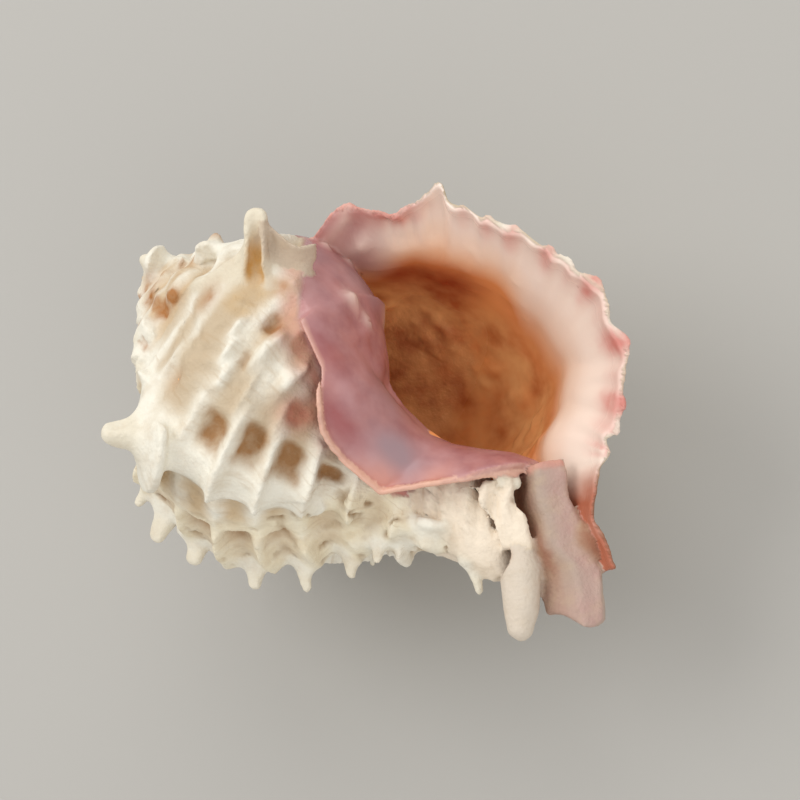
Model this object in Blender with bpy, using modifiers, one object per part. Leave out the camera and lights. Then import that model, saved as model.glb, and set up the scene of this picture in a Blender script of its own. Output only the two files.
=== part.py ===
"""Murex sea shell, grown as one piece.

The shell is worked out in its own frame, in millimetres: the apex is the origin, the coiling
axis runs down -Z, the front is -Y and the outer lip is on +X. Each whorl is a loft along a
spiral that grows by a fixed factor each turn, so older whorls are smaller copies of the last.
A place on a whorl is its turn (0 at the lip, negative for older growth) and its share of the
section (0 at the seam with the whorl above, 1 at the canal).
"""

import bpy
import numpy as np
from math import cos, pi, radians, sin
from mathutils import Vector

MM = 0.001
VOXEL = 0.85                      # grid on which the loose shapes become one skin
TRIANGLES = 9700
REST_ANGLES = (-88.14, 1.27, 47.15)   # degrees, from the shell's own frame to lying mouth up

# Growth
GROWTH = 1.6                      # size gained in one turn
LIP_AZIMUTH = radians(72)         # of the outer lip, from the front towards +X
TURNS = 5.6                       # from the first whorl kept to the lip
HOLLOW_TURNS = 1.10               # the last whorl is hollow, older ones are filled
WALL = 2.6
LIP_WALL = 1.4

# Section of a whorl at lip size: distance from the axis, distance from the apex, growth exponent
EARLY_SECTION = (
    (21.5, 28.5, 1.00), (27.5, 30.0, 1.00), (33.0, 33.0, 1.00), (37.0, 38.0, 1.00), (39.0, 44.5, 1.00),
    (39.6, 52.0, 1.00), (39.0, 60.5, 1.00), (36.5, 68.5, 1.00), (31.5, 75.5, 1.00), (25.0, 81.0, 0.95),
    (17.0, 84.5, 0.85), (11.0, 89.0, 0.70), (8.0, 95.5, 0.60), (7.0, 103.0, 0.55),
)
LIP_SECTION = (
    (20.0, 27.5, 1.00), (25.0, 31.0, 1.00), (30.5, 36.0, 1.00), (36.5, 43.0, 1.00), (41.0, 51.5, 1.00),
    (43.5, 61.5, 1.00), (43.5, 71.0, 1.00), (41.0, 79.5, 1.00), (35.0, 85.5, 1.00), (27.5, 89.5, 0.97),
    (23.0, 93.5, 0.90), (20.0, 99.0, 0.75), (17.0, 104.8, 0.62), (14.4, 110.0, 0.55),
)
SECTION_CHANGE = 0.45             # turns over which the early section becomes the lip's

# Former lips (varices), as turns before the lip, repeated on each older turn
FORMER_LIPS = (0.190, 0.375, 0.530, 0.667, 0.892)
LOW_LIP = 0.530                   # this one is a low ridge that carries a dense row of spines
RIDGE_HEIGHT = 2.8
PIT_DEPTH = 2.6                   # of the row of hollows in front of each former lip
BASE_LAG = 0.22                   # turns by which the base of a former lip trails its shoulder
CORD_PLACES = (9, 21, 35, 46.1, 56.9, 68.9, 79.5, 88)   # spiral cords, along the section from the seam
CORD_HEIGHTS = (0.6, 1.2, 0.8, 1.3, 1.3, 1.3, 1.2, 0.9)

# Knobs and pits of the last whorl: turn, share of the section, half sizes of both, height or depth
KNOBS = (
    (-0.868, 0.390, 0.018, 0.015, 3.6), (-0.850, 0.440, 0.008, 0.040, 2.4),
    (-0.838, 0.492, 0.015, 0.016, 3.6), (-0.822, 0.550, 0.011, 0.022, 3.2),
    (-0.835, 0.610, 0.012, 0.020, 2.0), (-0.780, 0.487, 0.045, 0.009, 1.5),
    (-0.765, 0.580, 0.045, 0.009, 1.5), (-0.740, 0.460, 0.030, 0.008, 1.2),
    (-0.800, 0.330, 0.060, 0.060, 1.0),
)
PITS = (
    (-0.738, 0.413, 0.018, 0.027, 2.8), (-0.741, 0.526, 0.025, 0.029, 3.3),
    (-0.731, 0.643, 0.021, 0.036, 3.3), (-0.727, 0.739, 0.014, 0.032, 3.0),
    (-0.882, 0.420, 0.013, 0.020, 2.0), (-0.832, 0.456, 0.006, 0.010, 1.0),
    (-0.802, 0.540, 0.009, 0.014, 0.9), (-0.872, 0.505, 0.018, 0.026, 1.4),
)

# The lip: how far it flares, then its lobes and small tips as share of the section, height, width
FLARE_TURNS = 0.075
FLARE_DEPTH = 8.5
LOBES = (
    (0.10, 1.4, 0.035), (0.19, -1.4, 0.02), (0.258, 3.6, 0.022), (0.268, 1.6, 0.010), (0.31, 1.6, 0.03),
    (0.355, 0.5, 0.010), (0.42, 0.6, 0.03), (0.55, 0.8, 0.03), (0.585, -1.0, 0.012), (0.62, 1.0, 0.02),
    (0.72, -0.8, 0.01),
)
TIPS = (
    (0.310, 0.5, 0.007), (0.352, 0.7, 0.008), (0.396, 1.0, 0.009), (0.460, 1.2, 0.009), (0.500, 0.5, 0.007),
    (0.537, 1.3, 0.010), (0.570, 0.4, 0.007), (0.604, 1.5, 0.010), (0.640, 0.5, 0.007), (0.673, 1.6, 0.010),
    (0.705, 0.7, 0.007), (0.740, 0.9, 0.008), (0.775, 0.6, 0.007),
)

# The callus, the glossy layer spread over the front: its left edge's azimuth in degrees by depth,
# the distance of its face from the axis, and that of the edge it turns into the mouth
CALLUS_DEPTH = (24, 31, 37, 42, 48, 52, 57, 60, 64, 72, 76, 81, 86, 90)
CALLUS_LEFT = (78, 52, 38, 19, 11, 8, -4, -9, -10, -8, 11, 36, 62, 82)
CALLUS_FRONT = (26, 28, 28.5, 28.5, 28.5, 27.8, 25, 22.5, 18.5, 13.8, 13.8, 14.5, 17, 19.5)
EDGE_DEPTH = (24, 31, 36, 40, 45, 48, 53, 56, 60, 68, 72, 77, 82, 86, 90)
EDGE_RADIUS = (29, 30, 30.5, 28, 22.5, 18.5, 14.2, 12.8, 12.2, 11.8, 13, 15.8, 19, 20.5, 20.5)

# The pillar (columella) and the filled roots of the canals: round tubes as x, y, depth, radius
PILLAR = (
    (0, 0, 20, 6), (0, 0, 40, 8), (2, 0, 55, 9), (3, 0, 64, 8.6), (4.4, 0, 74, 8.2), (5.0, 0, 84, 6.6),
    (4.0, 0.5, 92, 4.0), (3.6, 1, 96, 3.0),
)
FIN = ((6, -2, 75, 8.0), (5, -2, 82, 7.2), (3.0, -1.5, 90, 5.4), (1.6, -1.5, 95.5, 2.6))
ROOT = ((3, 3, 72, 9.0), (3, 3, 81, 7.4), (3, 2, 88, 5.2), (2.5, 0, 93, 3.4))

# An older canal, left as an open tube: x, y, depth, radius, angles where its wall starts and ends
FINGER = (
    (7.6, -4.2, 92.4, 1.6, -100, 150), (6.6, -4.5, 94.4, 2.7, -105, 160),
    (5.0, -4.5, 96.3, 3.3, -108, 165), (3.6, -4.5, 97.8, 3.7, -125, 170),
    (2.4, -4.5, 99.0, 3.8, -175, 182), (-0.4, -4.5, 101.7, 3.6, -185, 190),
    (-3.1, -4.5, 104.0, 3.1, -185, 190), (-4.4, -4.5, 105.2, 2.2, -185, 190),
    (-5.1, -4.5, 105.9, 0.5, -185, 190),
)

# Folded sheets: left and right edge as x, y, depth, then the width of the groove floor
CANAL = (
    (12.6, -3.0, 83.5, 23.4, -7.0, 90.6, 0.42), (11.0, 0.0, 84.5, 22.0, -6.5, 92.9, 0.40),
    (9.4, 1.0, 86.5, 20.2, -5.5, 96.6, 0.36), (8.2, 1.0, 89.0, 18.4, -4.5, 100.2, 0.31),
    (7.0, 1.0, 91.9, 16.2, -4.5, 101.9, 0.30), (6.0, 1.0, 94.3, 14.2, -4.5, 103.8, 0.26),
    (5.4, 1.0, 96.5, 13.8, -4.0, 105.7, 0.18), (4.8, 1.0, 99.0, 13.1, -3.5, 108.0, 0.10),
    (3.7, 0.0, 102.0, 10.8, -3.5, 110.5, 0.03), (1.9, -1.0, 104.4, 8.5, -3.5, 112.7, 0.0),
    (0.9, -1.0, 106.0, 6.8, -3.5, 113.9, 0.0),
)
BLADE = (
    (9.0, -11.0, 82.3, 15.4, -9.0, 86.3, 0), (8.5, -10.5, 84.9, 13.6, -8.5, 88.0, 0),
    (7.6, -9.5, 87.4, 12.2, -8.0, 90.8, 0), (6.4, -8.5, 89.6, 10.8, -7.5, 93.4, 0),
    (5.3, -7.5, 91.9, 9.2, -7.0, 95.6, 0), (4.4, -7.0, 93.5, 8.1, -6.5, 97.2, 0),
)

# Spines on each former lip: place along the section, length, lift towards the apex,
# lean back from the growth direction, width, bluntness from 0 to 1
SPINES = {
    0.190: ((21, 13, 0.2, 0.1, 6.0, 0.3), (33, 7, 0.1, 0, 3.8, 0.4), (45.5, 6, 0, 0, 3.8, 0.4),
            (59.5, 6, 0, 0, 3.8, 0.4), (72, 5, 0, 0, 3.4, 0.4)),
    0.375: ((21, 12, 0.2, 0.1, 6.0, 0.3), (33, 7, 0.1, 0, 3.8, 0.4), (45.5, 6, 0, 0, 3.8, 0.4),
            (59.5, 6, 0, 0, 3.8, 0.4), (72, 5, 0, 0, 3.4, 0.4)),
    0.530: ((20, 7, -0.2, 0, 4.4, 0.5), (28, 8.5, -0.4, 0, 6.0, 0.5), (38.5, 6.5, -0.7, 0, 6.0, 0.5),
            (46, 4.5, -0.9, 0, 3.6, 0.5), (54, 6.5, -0.9, 0, 5.4, 0.5), (66, 7.5, -1.0, 0, 4.6, 0.4),
            (77, 6.5, -0.9, 0, 4.6, 0.5), (84, 5, -0.9, 0, 3.6, 0.4)),
    0.667: ((27, 12, 0.95, 0, 9.5, 0.35), (45.5, 2, 0, 0, 3.4, 0.5), (59.5, 2, 0, 0, 3.4, 0.5),
            (72, 2, 0, 0, 3.4, 0.5)),
}

# Single small thorns: foot, tip, width, bluntness
THORNS = (
    ((-0.6, -2.5, 89.6), (-4.4, -1.0, 94.2), 2.8, 0.4),
    ((-1.0, -5.0, 80.8), (-4.9, -4.6, 82.8), 4.6, 0.9),
    ((13.8, -7.5, 85.6), (15.2, -7.0, 88.2), 2.2, 0.8),
    ((1.8, -5.5, 5.2), (0.1, -4.0, 1.7), 3.6, 0.8),
    ((10.6, -13.6, 16.4), (13.6, -12.0, 13.9), 3.6, 0.6),
    ((-8.2, -13.5, 17.0), (-11.9, -13.0, 15.6), 3.4, 0.5),
    ((-14.4, -18.5, 26.6), (-18.0, -17.5, 26.6), 3.4, 0.5),
)

# The frill of the oldest former lip on the last whorl: two sails, as rows of foot and crest (x, y, z),
# how far each sail's middle sits back, then the half tube between them as centre and radius
FRILL_SAILS = (
    ((2.8, -19.0, -20.0, 3.4, -20.3, -19.6), (4.8, -22.4, -24.0, 6.8, -22.3, -21.9),
     (7.0, -24.6, -28.0, 10.3, -24.0, -23.8), (9.3, -24.0, -28.8, 14.4, -25.5, -25.2),
     (10.4, -23.4, -30.0, 18.1, -26.6, -23.7)),
    ((12.6, -24.2, -32.8, 20.6, -26.5, -26.4), (14.0, -23.2, -34.6, 20.7, -26.2, -31.0),
     (15.5, -21.5, -35.4, 21.3, -26.2, -34.0), (17.5, -21.5, -36.8, 23.6, -27.0, -36.6)),
)
FRILL_HOLLOW = (0.3, 2.2)
FRILL_TUBE = (
    (10.2, -22.0, -32.4, 2.5), (13.0, -24.2, -30.2, 2.4), (16.6, -25.8, -27.6, 2.1),
    (19.4, -26.8, -25.4, 1.9), (21.2, -27.4, -24.0, 1.5),
)
FRILL_SIDE = (0.64, 0.0, -0.77)
FRILL_WALL = 1.2


def ease(x, low, high):
    t = np.clip((x - low) / (high - low), 0, 1)
    return t * t * (3 - 2 * t)


def hump(x, centre, width):
    return np.exp(-(((x - centre) / width) ** 2))


def section_mask(where, low, high, soft):
    return ease(where, low - soft, low + soft) * (1 - ease(where, high - soft, high + soft))


def curve_through(points, places):
    """Catmull-Rom curve through the points, at places from 0 to len(points) - 1."""
    points = np.asarray(points, float)
    last = len(points) - 1
    places = np.clip(np.asarray(places, float), 0, last - 1e-9)
    i = np.floor(places).astype(int)
    f = (places - i)[:, None]
    padded = np.vstack([2 * points[0] - points[1], points, 2 * points[-1] - points[-2]])
    a, b, c, d = (padded[i + k] for k in range(4))
    squared = 2 * a - 5 * b + 4 * c - d
    cubed = 3 * b - a - 3 * c + d
    return 0.5 * (2 * b + (c - a) * f + squared * f**2 + cubed * f**3)


def measured(points, count=1600):
    """The curve through the points as a dense table, with its running length."""
    curve = curve_through(points, np.linspace(0, len(points) - 1, count))
    steps = np.hypot(*np.diff(curve[:, :2], axis=0).T)
    return curve, np.concatenate([[0], np.cumsum(steps)])


EARLY_TABLE = measured(EARLY_SECTION)
LIP_TABLE = measured(LIP_SECTION)
SECTION_LENGTH = EARLY_TABLE[1][-1]
CORDS = [place / SECTION_LENGTH for place in CORD_PLACES]


def at_share(table, share):
    curve, length = table
    return np.stack([np.interp(share * length[-1], length, curve[:, k]) for k in range(3)], -1)


def azimuth_of(turn):
    return LIP_AZIMUTH - 2 * pi * turn


def point_at(radius, angle, depth):
    x, y, z = np.broadcast_arrays(radius * np.sin(angle), -radius * np.cos(angle), -depth)
    return np.stack([x, y, z], -1)


def all_former_lips():
    return [-(t + k) for k in range(int(TURNS)) for t in FORMER_LIPS]


def callus_left(depth):
    return np.radians(np.interp(depth, CALLUS_DEPTH, CALLUS_LEFT))


def callus_cover(turn, angle, depth):
    """1 where the callus covers the whorl before the last."""
    turned = (angle + pi) % (2 * pi) - pi
    cover = ease(turned - callus_left(depth), radians(-5), radians(5))
    return cover * ease(turn, -1.15, -1.05) * (1 - ease(turn, -0.74, -0.70))


def base_lag(share):
    return BASE_LAG * ease(share, 0.80, 0.96)


def lip_distance(turn, share, lips):
    """Turns from the nearest of the lips, negative before it."""
    nearest = np.full(np.broadcast_shapes(np.shape(turn), np.shape(share)), 9.0)
    for former in lips:
        away = turn - former + base_lag(share)
        nearest = np.where(np.abs(away) < np.abs(nearest), away, nearest)
    return nearest


def in_mm(turns, share):
    """A distance in turns as millimetres along the surface of a lip-sized whorl."""
    return turns * 2 * pi * np.interp(share, EARLY_TABLE[1] / SECTION_LENGTH, EARLY_TABLE[0][:, 0])


def cord_profile(share, width, places, power=2.0):
    return sum(np.exp(-(np.abs(share - c) * SECTION_LENGTH / width) ** power) for c in places)


def between_cords(share):
    return np.clip(1 - cord_profile(share, 3.1, CORDS + [CORDS[0] - 0.09]), 0, 1)


def spots(turn, share, places, sharpness):
    """Height of soft-edged oval spots."""
    height = np.zeros(np.broadcast_shapes(np.shape(turn), np.shape(share)))
    for place_turn, place_share, along, across, rise in places:
        away = np.abs((turn - place_turn) / along) ** sharpness
        away = away + np.abs((share - place_share) / across) ** sharpness
        height = height + rise * np.exp(-away)
    return height


def row_pits(turn, share):
    """Hollows in front of the former lips, other than those listed one by one."""
    behind = in_mm(lip_distance(turn, share, all_former_lips()), share)
    seen = section_mask(turn, -0.96, -0.62, 0.02)
    back = 1 - 0.6 * ease(turn, -0.50, -0.40) - 0.4 * ease(-turn, 0.97, 1.05)
    row = section_mask(behind, -19.5, -10.5, 1.5) * ease(share, 0.3, 0.4)
    return row * between_cords(share) * back * (1 - seen)


def relief(turn, share, covered):
    """Height of cords, ridges and knobs over the section, at lip size."""
    behind = in_mm(lip_distance(turn, share, all_former_lips()), share)
    spiny = in_mm(lip_distance(turn, share, [-LOW_LIP - k for k in range(int(TURNS))]), share)
    between = between_cords(share)
    fade = ease(share, 0.03, 0.13)
    crest = np.where(behind < 0, ease(behind, -15, -5), 1 - ease(behind, 0, 2.2))
    low_ridge = (np.abs(spiny) < 25) * (0.55 + 0.35 * (1 - ease(share, 0.16, 0.26)))
    crest = crest * (1 - low_ridge)
    ramp = np.where(behind < 0, ease(behind, -30, -8), 1 - ease(behind, 0, 5))
    old = ease(-turn, 0.97, 1.05)
    sharp = sum(h * cord_profile(share, 1.25, [c], 1.7) for h, c in zip(CORD_HEIGHTS, CORDS))
    broad = sum(h * cord_profile(share, 3.0, [c]) for h, c in zip(CORD_HEIGHTS, CORDS))
    threads = cord_profile(share, 1.1, [(a + b) / 2 for a, b in zip(CORDS[1:], CORDS[2:])])
    height = sharp * (0.25 + 1.7 * ramp) + broad * (0.2 + 0.9 * ramp)
    height = height * (1 - 0.6 * old)
    height = height + 0.3 * threads * (1 - ramp) + fade * RIDGE_HEIGHT * crest
    scoops = section_mask(spiny, -14, -1.5, 2.0) * between
    height = height - PIT_DEPTH * fade * row_pits(turn, share) - 1.5 * scoops
    height = height - 0.8 * between * fade * section_mask(behind, 1.5, 12, 2)
    height = height + spots(turn, share, KNOBS, 2.2) - spots(turn, share, PITS, 4)
    folds = np.cos(2 * pi * behind / 6.3 + 4 * np.sin(20 * share)) * (1 - ramp)
    height = height + 0.3 * folds * fade
    height = height - 4.5 * section_mask(turn, -0.82, -0.60, 0.05) * section_mask(share, 0.06, 0.255, 0.04)
    height = height - 3.0 * section_mask(turn, -0.50, -0.31, 0.05) * ease(share, 0.5, 0.65)
    knots = 2.4 * old * hump(share, CORDS[1], 4.0 / SECTION_LENGTH) * (0.7 + 0.5 * np.sin(19 * turn))
    height = height + knots * np.cos(2 * pi * turn / 0.137 + 2 * np.sin(13 * turn))
    buried = ease(-turn, 0.99, 1.02) * ease(share, 0.30, 0.36)
    return height * (1 - buried) * (1 - 0.85 * covered)


def flare(turn, share):
    rise = (ease(turn, -FLARE_TURNS, 0.02) / ease(0.0, -FLARE_TURNS, 0.02)) ** 1.4
    depth = FLARE_DEPTH * (0.8 + 0.35 * ease(share, 0.3, 0.6))
    depth = depth + sum(high * hump(share, place, wide) for place, high, wide in LOBES)
    tips = sum(high * hump(share, place, wide) for place, high, wide in TIPS)
    depth = depth + tips * ease(turn, -0.035, 0.0)
    return rise * depth * ease(share, -0.05, 0.12) * (1 - 0.8 * ease(share, 0.80, 0.93))


def whorl_surface(turns, shares, carved=True, inset=0.0):
    """Points of the spiral surface, one row for each turn value."""
    turn = np.asarray(turns)[:, None]
    share = np.asarray(shares)[None, :]
    mix = ease(turn, -SECTION_CHANGE, 0.0)[..., None]
    early, late = at_share(EARLY_TABLE, np.asarray(shares)), at_share(LIP_TABLE, np.asarray(shares))
    section = early[None] * (1 - mix) + late[None] * mix
    size = GROWTH**turn
    radius = section[..., 0] * size ** section[..., 2]
    depth = section[..., 1] * size ** section[..., 2]
    depth = depth - 9 * ease(share, 0.86, 1.0) * section_mask(turn, -0.66, -0.28, 0.05)
    d_radius, d_depth = np.gradient(radius, axis=1), np.gradient(depth, axis=1)
    length = np.hypot(d_radius, d_depth)
    angle = azimuth_of(turn) + 0 * radius
    height = flare(turn, share)
    covered = callus_cover(turn, angle, depth)
    if carved:
        height = height + relief(turn, share, covered) * size + 1.2 * covered
    height = height - inset
    radius = radius + d_depth / length * height
    depth = depth - d_radius / length * height
    return point_at(radius, angle, depth)


def grid_faces(rows, columns, closed):
    i = np.arange(rows - 1)[:, None]
    j = np.arange(columns if closed else columns - 1)[None, :]
    k = (j + 1) % columns
    corners = [i * columns + j, i * columns + k, (i + 1) * columns + k, (i + 1) * columns + j]
    return np.stack(corners, -1).reshape(-1, 4)


def loft(rings):
    """Closed skin over rings of points, each end closed by a fan."""
    rows, columns, _ = rings.shape
    faces = grid_faces(rows, columns, True).tolist()
    first, last = rows * columns, rows * columns + 1
    points = np.vstack([rings.reshape(-1, 3), rings[0].mean(0), rings[-1].mean(0)])
    for j in range(columns):
        k = (j + 1) % columns
        faces.append([first, k, j])
        faces.append([last, (rows - 1) * columns + j, (rows - 1) * columns + k])
    return points, faces


def sheet(outer, inner):
    """Closed skin between two surfaces of the same grid."""
    rows, columns, _ = outer.shape
    rings = np.concatenate([outer, inner[:, ::-1]], 1)
    wide = 2 * columns
    faces = grid_faces(rows, wide, True).tolist()
    for base, last in ((0, False), ((rows - 1) * wide, True)):
        for j in range(columns - 1):
            face = [base + j, base + wide - 1 - j, base + wide - 2 - j, base + j + 1]
            faces.append(face[::-1] if last else face)
    return rings.reshape(-1, 3), faces


def turn_steps(start, end, per_turn):
    """Turn values from start to end, three times denser near each former lip."""
    fine = np.linspace(start, end, 4001)
    density = np.ones_like(fine)
    for former in all_former_lips():
        density += 2 * hump(fine, former, 0.03)
    total = np.concatenate([[0], np.cumsum(0.5 * (density[1:] + density[:-1]))])
    count = int(per_turn * (end - start) * total[-1] / len(fine))
    return np.interp(np.linspace(0, total[-1], count), total, fine)


def last_whorl():
    turns = turn_steps(-HOLLOW_TURNS, 0.0, 170)
    shares = np.linspace(0, 1, 180)
    wall = WALL * GROWTH**turns
    wall = (wall + (LIP_WALL - WALL) * ease(turns, -0.04, 0.0))[:, None]
    across, along = shares[None, :], turns[:, None]
    sunk = np.clip(-relief(along, across, 0) - 0.2, 0, 7) * GROWTH**along
    inner = whorl_surface(turns, shares, carved=False, inset=wall + sunk)
    return sheet(whorl_surface(turns, shares), inner)


def spire():
    turns = turn_steps(-TURNS, 0.07 - HOLLOW_TURNS, 100)
    surface = whorl_surface(turns, np.linspace(0, 1, 120))
    last, first = surface[:, -1], surface[:, 0]
    axis = []
    for f in np.linspace(0, 1, 7)[1:-1]:
        on_axis = last * (1 - f) + first * f
        on_axis[:, :2] = 0
        axis.append(on_axis)
    return loft(np.concatenate([surface, np.stack(axis, 1)], 1))


def inner_lip():
    """The callus where it stands free of the whorl, from its left rim round to the columella."""
    depths = np.linspace(43, 89, 80)
    outer, inner = [], []
    for depth in depths:
        left = callus_left(depth)
        front = np.interp(depth, CALLUS_DEPTH, CALLUS_FRONT)
        edge = np.interp(depth, EDGE_DEPTH, EDGE_RADIUS)
        angles = np.linspace(left, radians(135), 80)
        radius = front + (edge - front) * ease(angles, radians(5), radians(78))
        radius = radius + (8 - radius) * ease(angles, radians(88), radians(135))
        thick = 1.0 + 1.4 * ease(angles - left, 0, radians(25))
        outer.append(point_at(radius, angles, depth))
        inner.append(point_at(radius - thick, angles, depth))
    return sheet(np.array(inner), np.array(outer))


def tube_path(points, count=60):
    """Steps along a tube: its rows, its centre points and two unit directions across each."""
    steps = curve_through(points, np.linspace(0, len(points) - 1, count))
    path = steps[:, :3] * [1, 1, -1]
    across = np.cross(np.gradient(path, axis=0), (0, 1, 0))
    across /= np.linalg.norm(across, axis=1)[:, None]
    other = np.cross(across, np.gradient(path, axis=0))
    other /= np.linalg.norm(other, axis=1)[:, None]
    return steps, path, across, other


def ring_at(centre, across, other, angles, radius):
    return centre + radius * (np.outer(np.cos(angles), across) + np.outer(np.sin(angles), other))


def solid_tube(points):
    angles = np.linspace(0, 2 * pi, 44, endpoint=False)
    rings = []
    for step, centre, across, other in zip(*tube_path(points)):
        rings.append(ring_at(centre, across, other, angles, step[3]))
    return loft(np.array(rings))


def open_tube(points, wall=1.4):
    outer, inner = [], []
    for step, centre, across, other in zip(*tube_path(points)):
        angles = np.radians(np.linspace(step[4], step[5], 60))
        outer.append(ring_at(centre, across, other, angles, step[3]))
        inner.append(ring_at(centre, across, other, angles, step[3] - min(wall, 0.8 * step[3])))
    return sheet(np.array(outer), np.array(inner))


def fold(rows, crest, scallop, wall):
    """A sheet from a left to a right edge, pushed to the front between them."""
    steps = curve_through(rows, np.linspace(0, len(rows) - 1, 70))
    across = np.linspace(0, 1, 60)
    away = (steps[-1, :3] - steps[-8, :3]) * [1, 1, -1]
    away /= np.linalg.norm(away)
    outer, inner = [], []
    for row, down in zip(steps, np.linspace(0, 1, len(steps))):
        left, right, floor = row[:3] * [1, 1, -1], row[3:6] * [1, 1, -1], row[6]
        line = left + (right - left) * across[:, None]
        top = right[1] - crest
        front = left[1] + (top - left[1]) * ease(across, floor, floor + 0.24)
        line[:, 1] = front + (right[1] - top) * ease(across, 0.62, 1.0)
        line = line + np.outer(scallop * hump(across, 0.72, 0.26) * ease(down, 0.8, 1), away)
        thick = wall * (0.8 + 0.6 * ease(down, 0.6, 1.0))
        outer.append(line)
        inner.append(line + [0.2 * thick, thick, 0])
    return sheet(np.array(outer), np.array(inner))


def spine(base, direction, height, width, forward, blunt):
    """A thorn on the surface at base, with a groove down the side that faces forward."""
    direction = Vector(direction).normalized()
    side = direction.cross(Vector(forward)).normalized()
    ahead = side.cross(direction)
    angles = np.linspace(0, 2 * pi, 24, endpoint=False)
    groove = 1 - 0.5 * (1 - 0.5 * blunt) * hump(angles, 1.5 * pi, 0.55)
    rings = []
    for f in np.concatenate([np.linspace(-min(0.35, 1.8 / height), 0.8, 12), np.linspace(0.84, 0.995, 6)]):
        grown = max(f, 0)
        taper = 1 - 0.8 * (1 - blunt) * grown**0.8 - 0.12 * grown
        taper *= (1 - max((f - 0.8) / 0.2, 0) ** 2.4) ** 0.5
        taper *= 1 + 0.7 * max(1 - grown / 0.4, 0) ** 2
        wander = 0.05 * width * grown * np.array([sin(7 * f + width), cos(5 * f), sin(4 * f)])
        centre = np.array(Vector(base) + direction * (height * f)) + wander
        ring = centre + np.outer(np.cos(angles) * width * 0.6 * taper, side)
        rings.append(ring + np.outer(np.sin(angles) * groove * width * 0.6 * taper, ahead))
    return loft(np.array(rings))


def surface_frame(turn, share):
    """A point of the surface, the direction of growth, and the direction out of the surface."""
    near = whorl_surface([turn - 0.004, turn], [share - 0.01, share, share + 0.01], carved=False)
    growth = near[1, 1] - near[0, 1]
    growth /= np.linalg.norm(growth)
    out_of = np.cross(growth, near[1, 2] - near[1, 0])
    return near[1, 1], growth, out_of / np.linalg.norm(out_of)


def spines():
    shapes = []
    for older in range(3):
        for former, rows in SPINES.items():
            if older > 0 and former == FORMER_LIPS[0]:       # these lie inside the last whorl
                continue
            for place, length, lift, lean, width, blunt in rows[: 8 if older == 0 else 1]:
                share = place / SECTION_LENGTH
                turn = -former - older - float(base_lag(share))
                size = GROWTH**turn
                point, growth, out_of = surface_frame(turn, share)
                outward = np.array([point[0], point[1], 0]) / np.hypot(point[0], point[1])
                direction = outward + 0.35 * out_of + [0, 0, lift] - lean * growth
                base = point + out_of * RIDGE_HEIGHT * size * 0.5
                if older > 0:
                    length = min(length, 5)
                shapes.append(spine(base, direction, length * size, width * size, growth, blunt))
    for foot, tip, width, blunt in THORNS:
        foot, tip = np.array(foot) * [1, 1, -1], np.array(tip) * [1, 1, -1]
        shapes.append(spine(foot, tip - foot, float(np.linalg.norm(tip - foot)), width, (0, -1, 0), blunt))
    return shapes


def sail(rows, hollow):
    """A thin sheet from its foot to its crest, thicker at the foot."""
    up = np.linspace(-0.15, 1, 36)
    front, back = [], []
    for row in curve_through(rows, np.linspace(0, len(rows) - 1, 50)):
        line = row[:3] + (row[3:6] - row[:3]) * up[:, None]
        line[:, 1] += hollow * np.sin(pi * np.clip(up, 0, 1))
        front.append(line)
        back.append(line + np.outer(1.3 + 2.4 * (1 - np.clip(up, 0, 1)), [0.15, 1, 0]))
    return sheet(np.array(front), np.array(back))


def half_tube():
    """The open gutter between the two sails, closed towards its tip."""
    steps = curve_through(FRILL_TUBE, np.linspace(0, len(FRILL_TUBE) - 1, 50))
    angles = np.radians(np.linspace(-35, 215, 44))
    outer, inner = [], []
    for step, tangent, along in zip(steps, np.gradient(steps[:, :3], axis=0), np.linspace(0, 1, 50)):
        behind = np.cross(FRILL_SIDE, tangent)
        behind *= np.sign(behind[1]) / np.linalg.norm(behind)
        closing = ease(along, 0.80, 0.97)
        hollow = (step[3] - FRILL_WALL) * (1 - 0.97 * closing)
        outer.append(ring_at(step[:3], FRILL_SIDE, behind, angles, step[3]))
        inner.append(ring_at(step[:3] - behind * 0.5 * closing, FRILL_SIDE, behind, angles, hollow))
    return sheet(np.array(outer), np.array(inner))


def build_shell():
    shapes = [last_whorl(), spire(), inner_lip(), open_tube(FINGER), half_tube()]
    shapes += [solid_tube(points) for points in (PILLAR, FIN, ROOT)]
    shapes += [fold(CANAL, 2.2, 2.4, 1.8), fold(BLADE, 0.5, 0.0, 1.6)]
    shapes += [sail(rows, hollow) for rows, hollow in zip(FRILL_SAILS, FRILL_HOLLOW)]
    shapes += spines()
    points, faces, base = [], [], 0
    for shape_points, shape_faces in shapes:
        points.append(shape_points)
        faces.extend([[base + i for i in face] for face in shape_faces])
        base += len(shape_points)
    return np.vstack(points), faces


def nacre():
    material = bpy.data.materials.new("shell")
    material.use_nodes = True
    shader = material.node_tree.nodes["Principled BSDF"]
    shader.inputs["Base Color"].default_value = (0.74, 0.62, 0.54, 1)
    shader.inputs["Roughness"].default_value = 0.45
    return material


def add_modifiers(shell):
    remesh = shell.modifiers.new("one skin", "REMESH")
    remesh.mode = "VOXEL"
    remesh.voxel_size = VOXEL * MM
    remesh.use_smooth_shade = True
    soften = shell.modifiers.new("soften", "SMOOTH")
    soften.factor = 0.5
    soften.iterations = 2
    graph = bpy.context.evaluated_depsgraph_get()
    squares = len(shell.evaluated_get(graph).data.polygons)
    thin = shell.modifiers.new("thin out", "DECIMATE")
    thin.ratio = TRIANGLES / (2 * squares)
    thin.use_collapse_triangulate = True


def lay_down(shell):
    """Turn the shell to its rest pose, with the middle of its base at the origin."""
    shell.rotation_euler = [radians(angle) for angle in REST_ANGLES]
    bpy.context.view_layer.update()
    turned = shell.evaluated_get(bpy.context.evaluated_depsgraph_get())
    corners = np.array([turned.matrix_world @ vertex.co for vertex in turned.data.vertices])
    low, high = corners.min(0), corners.max(0)
    shell.location = (-(low[0] + high[0]) / 2, -(low[1] + high[1]) / 2, -low[2])


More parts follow.
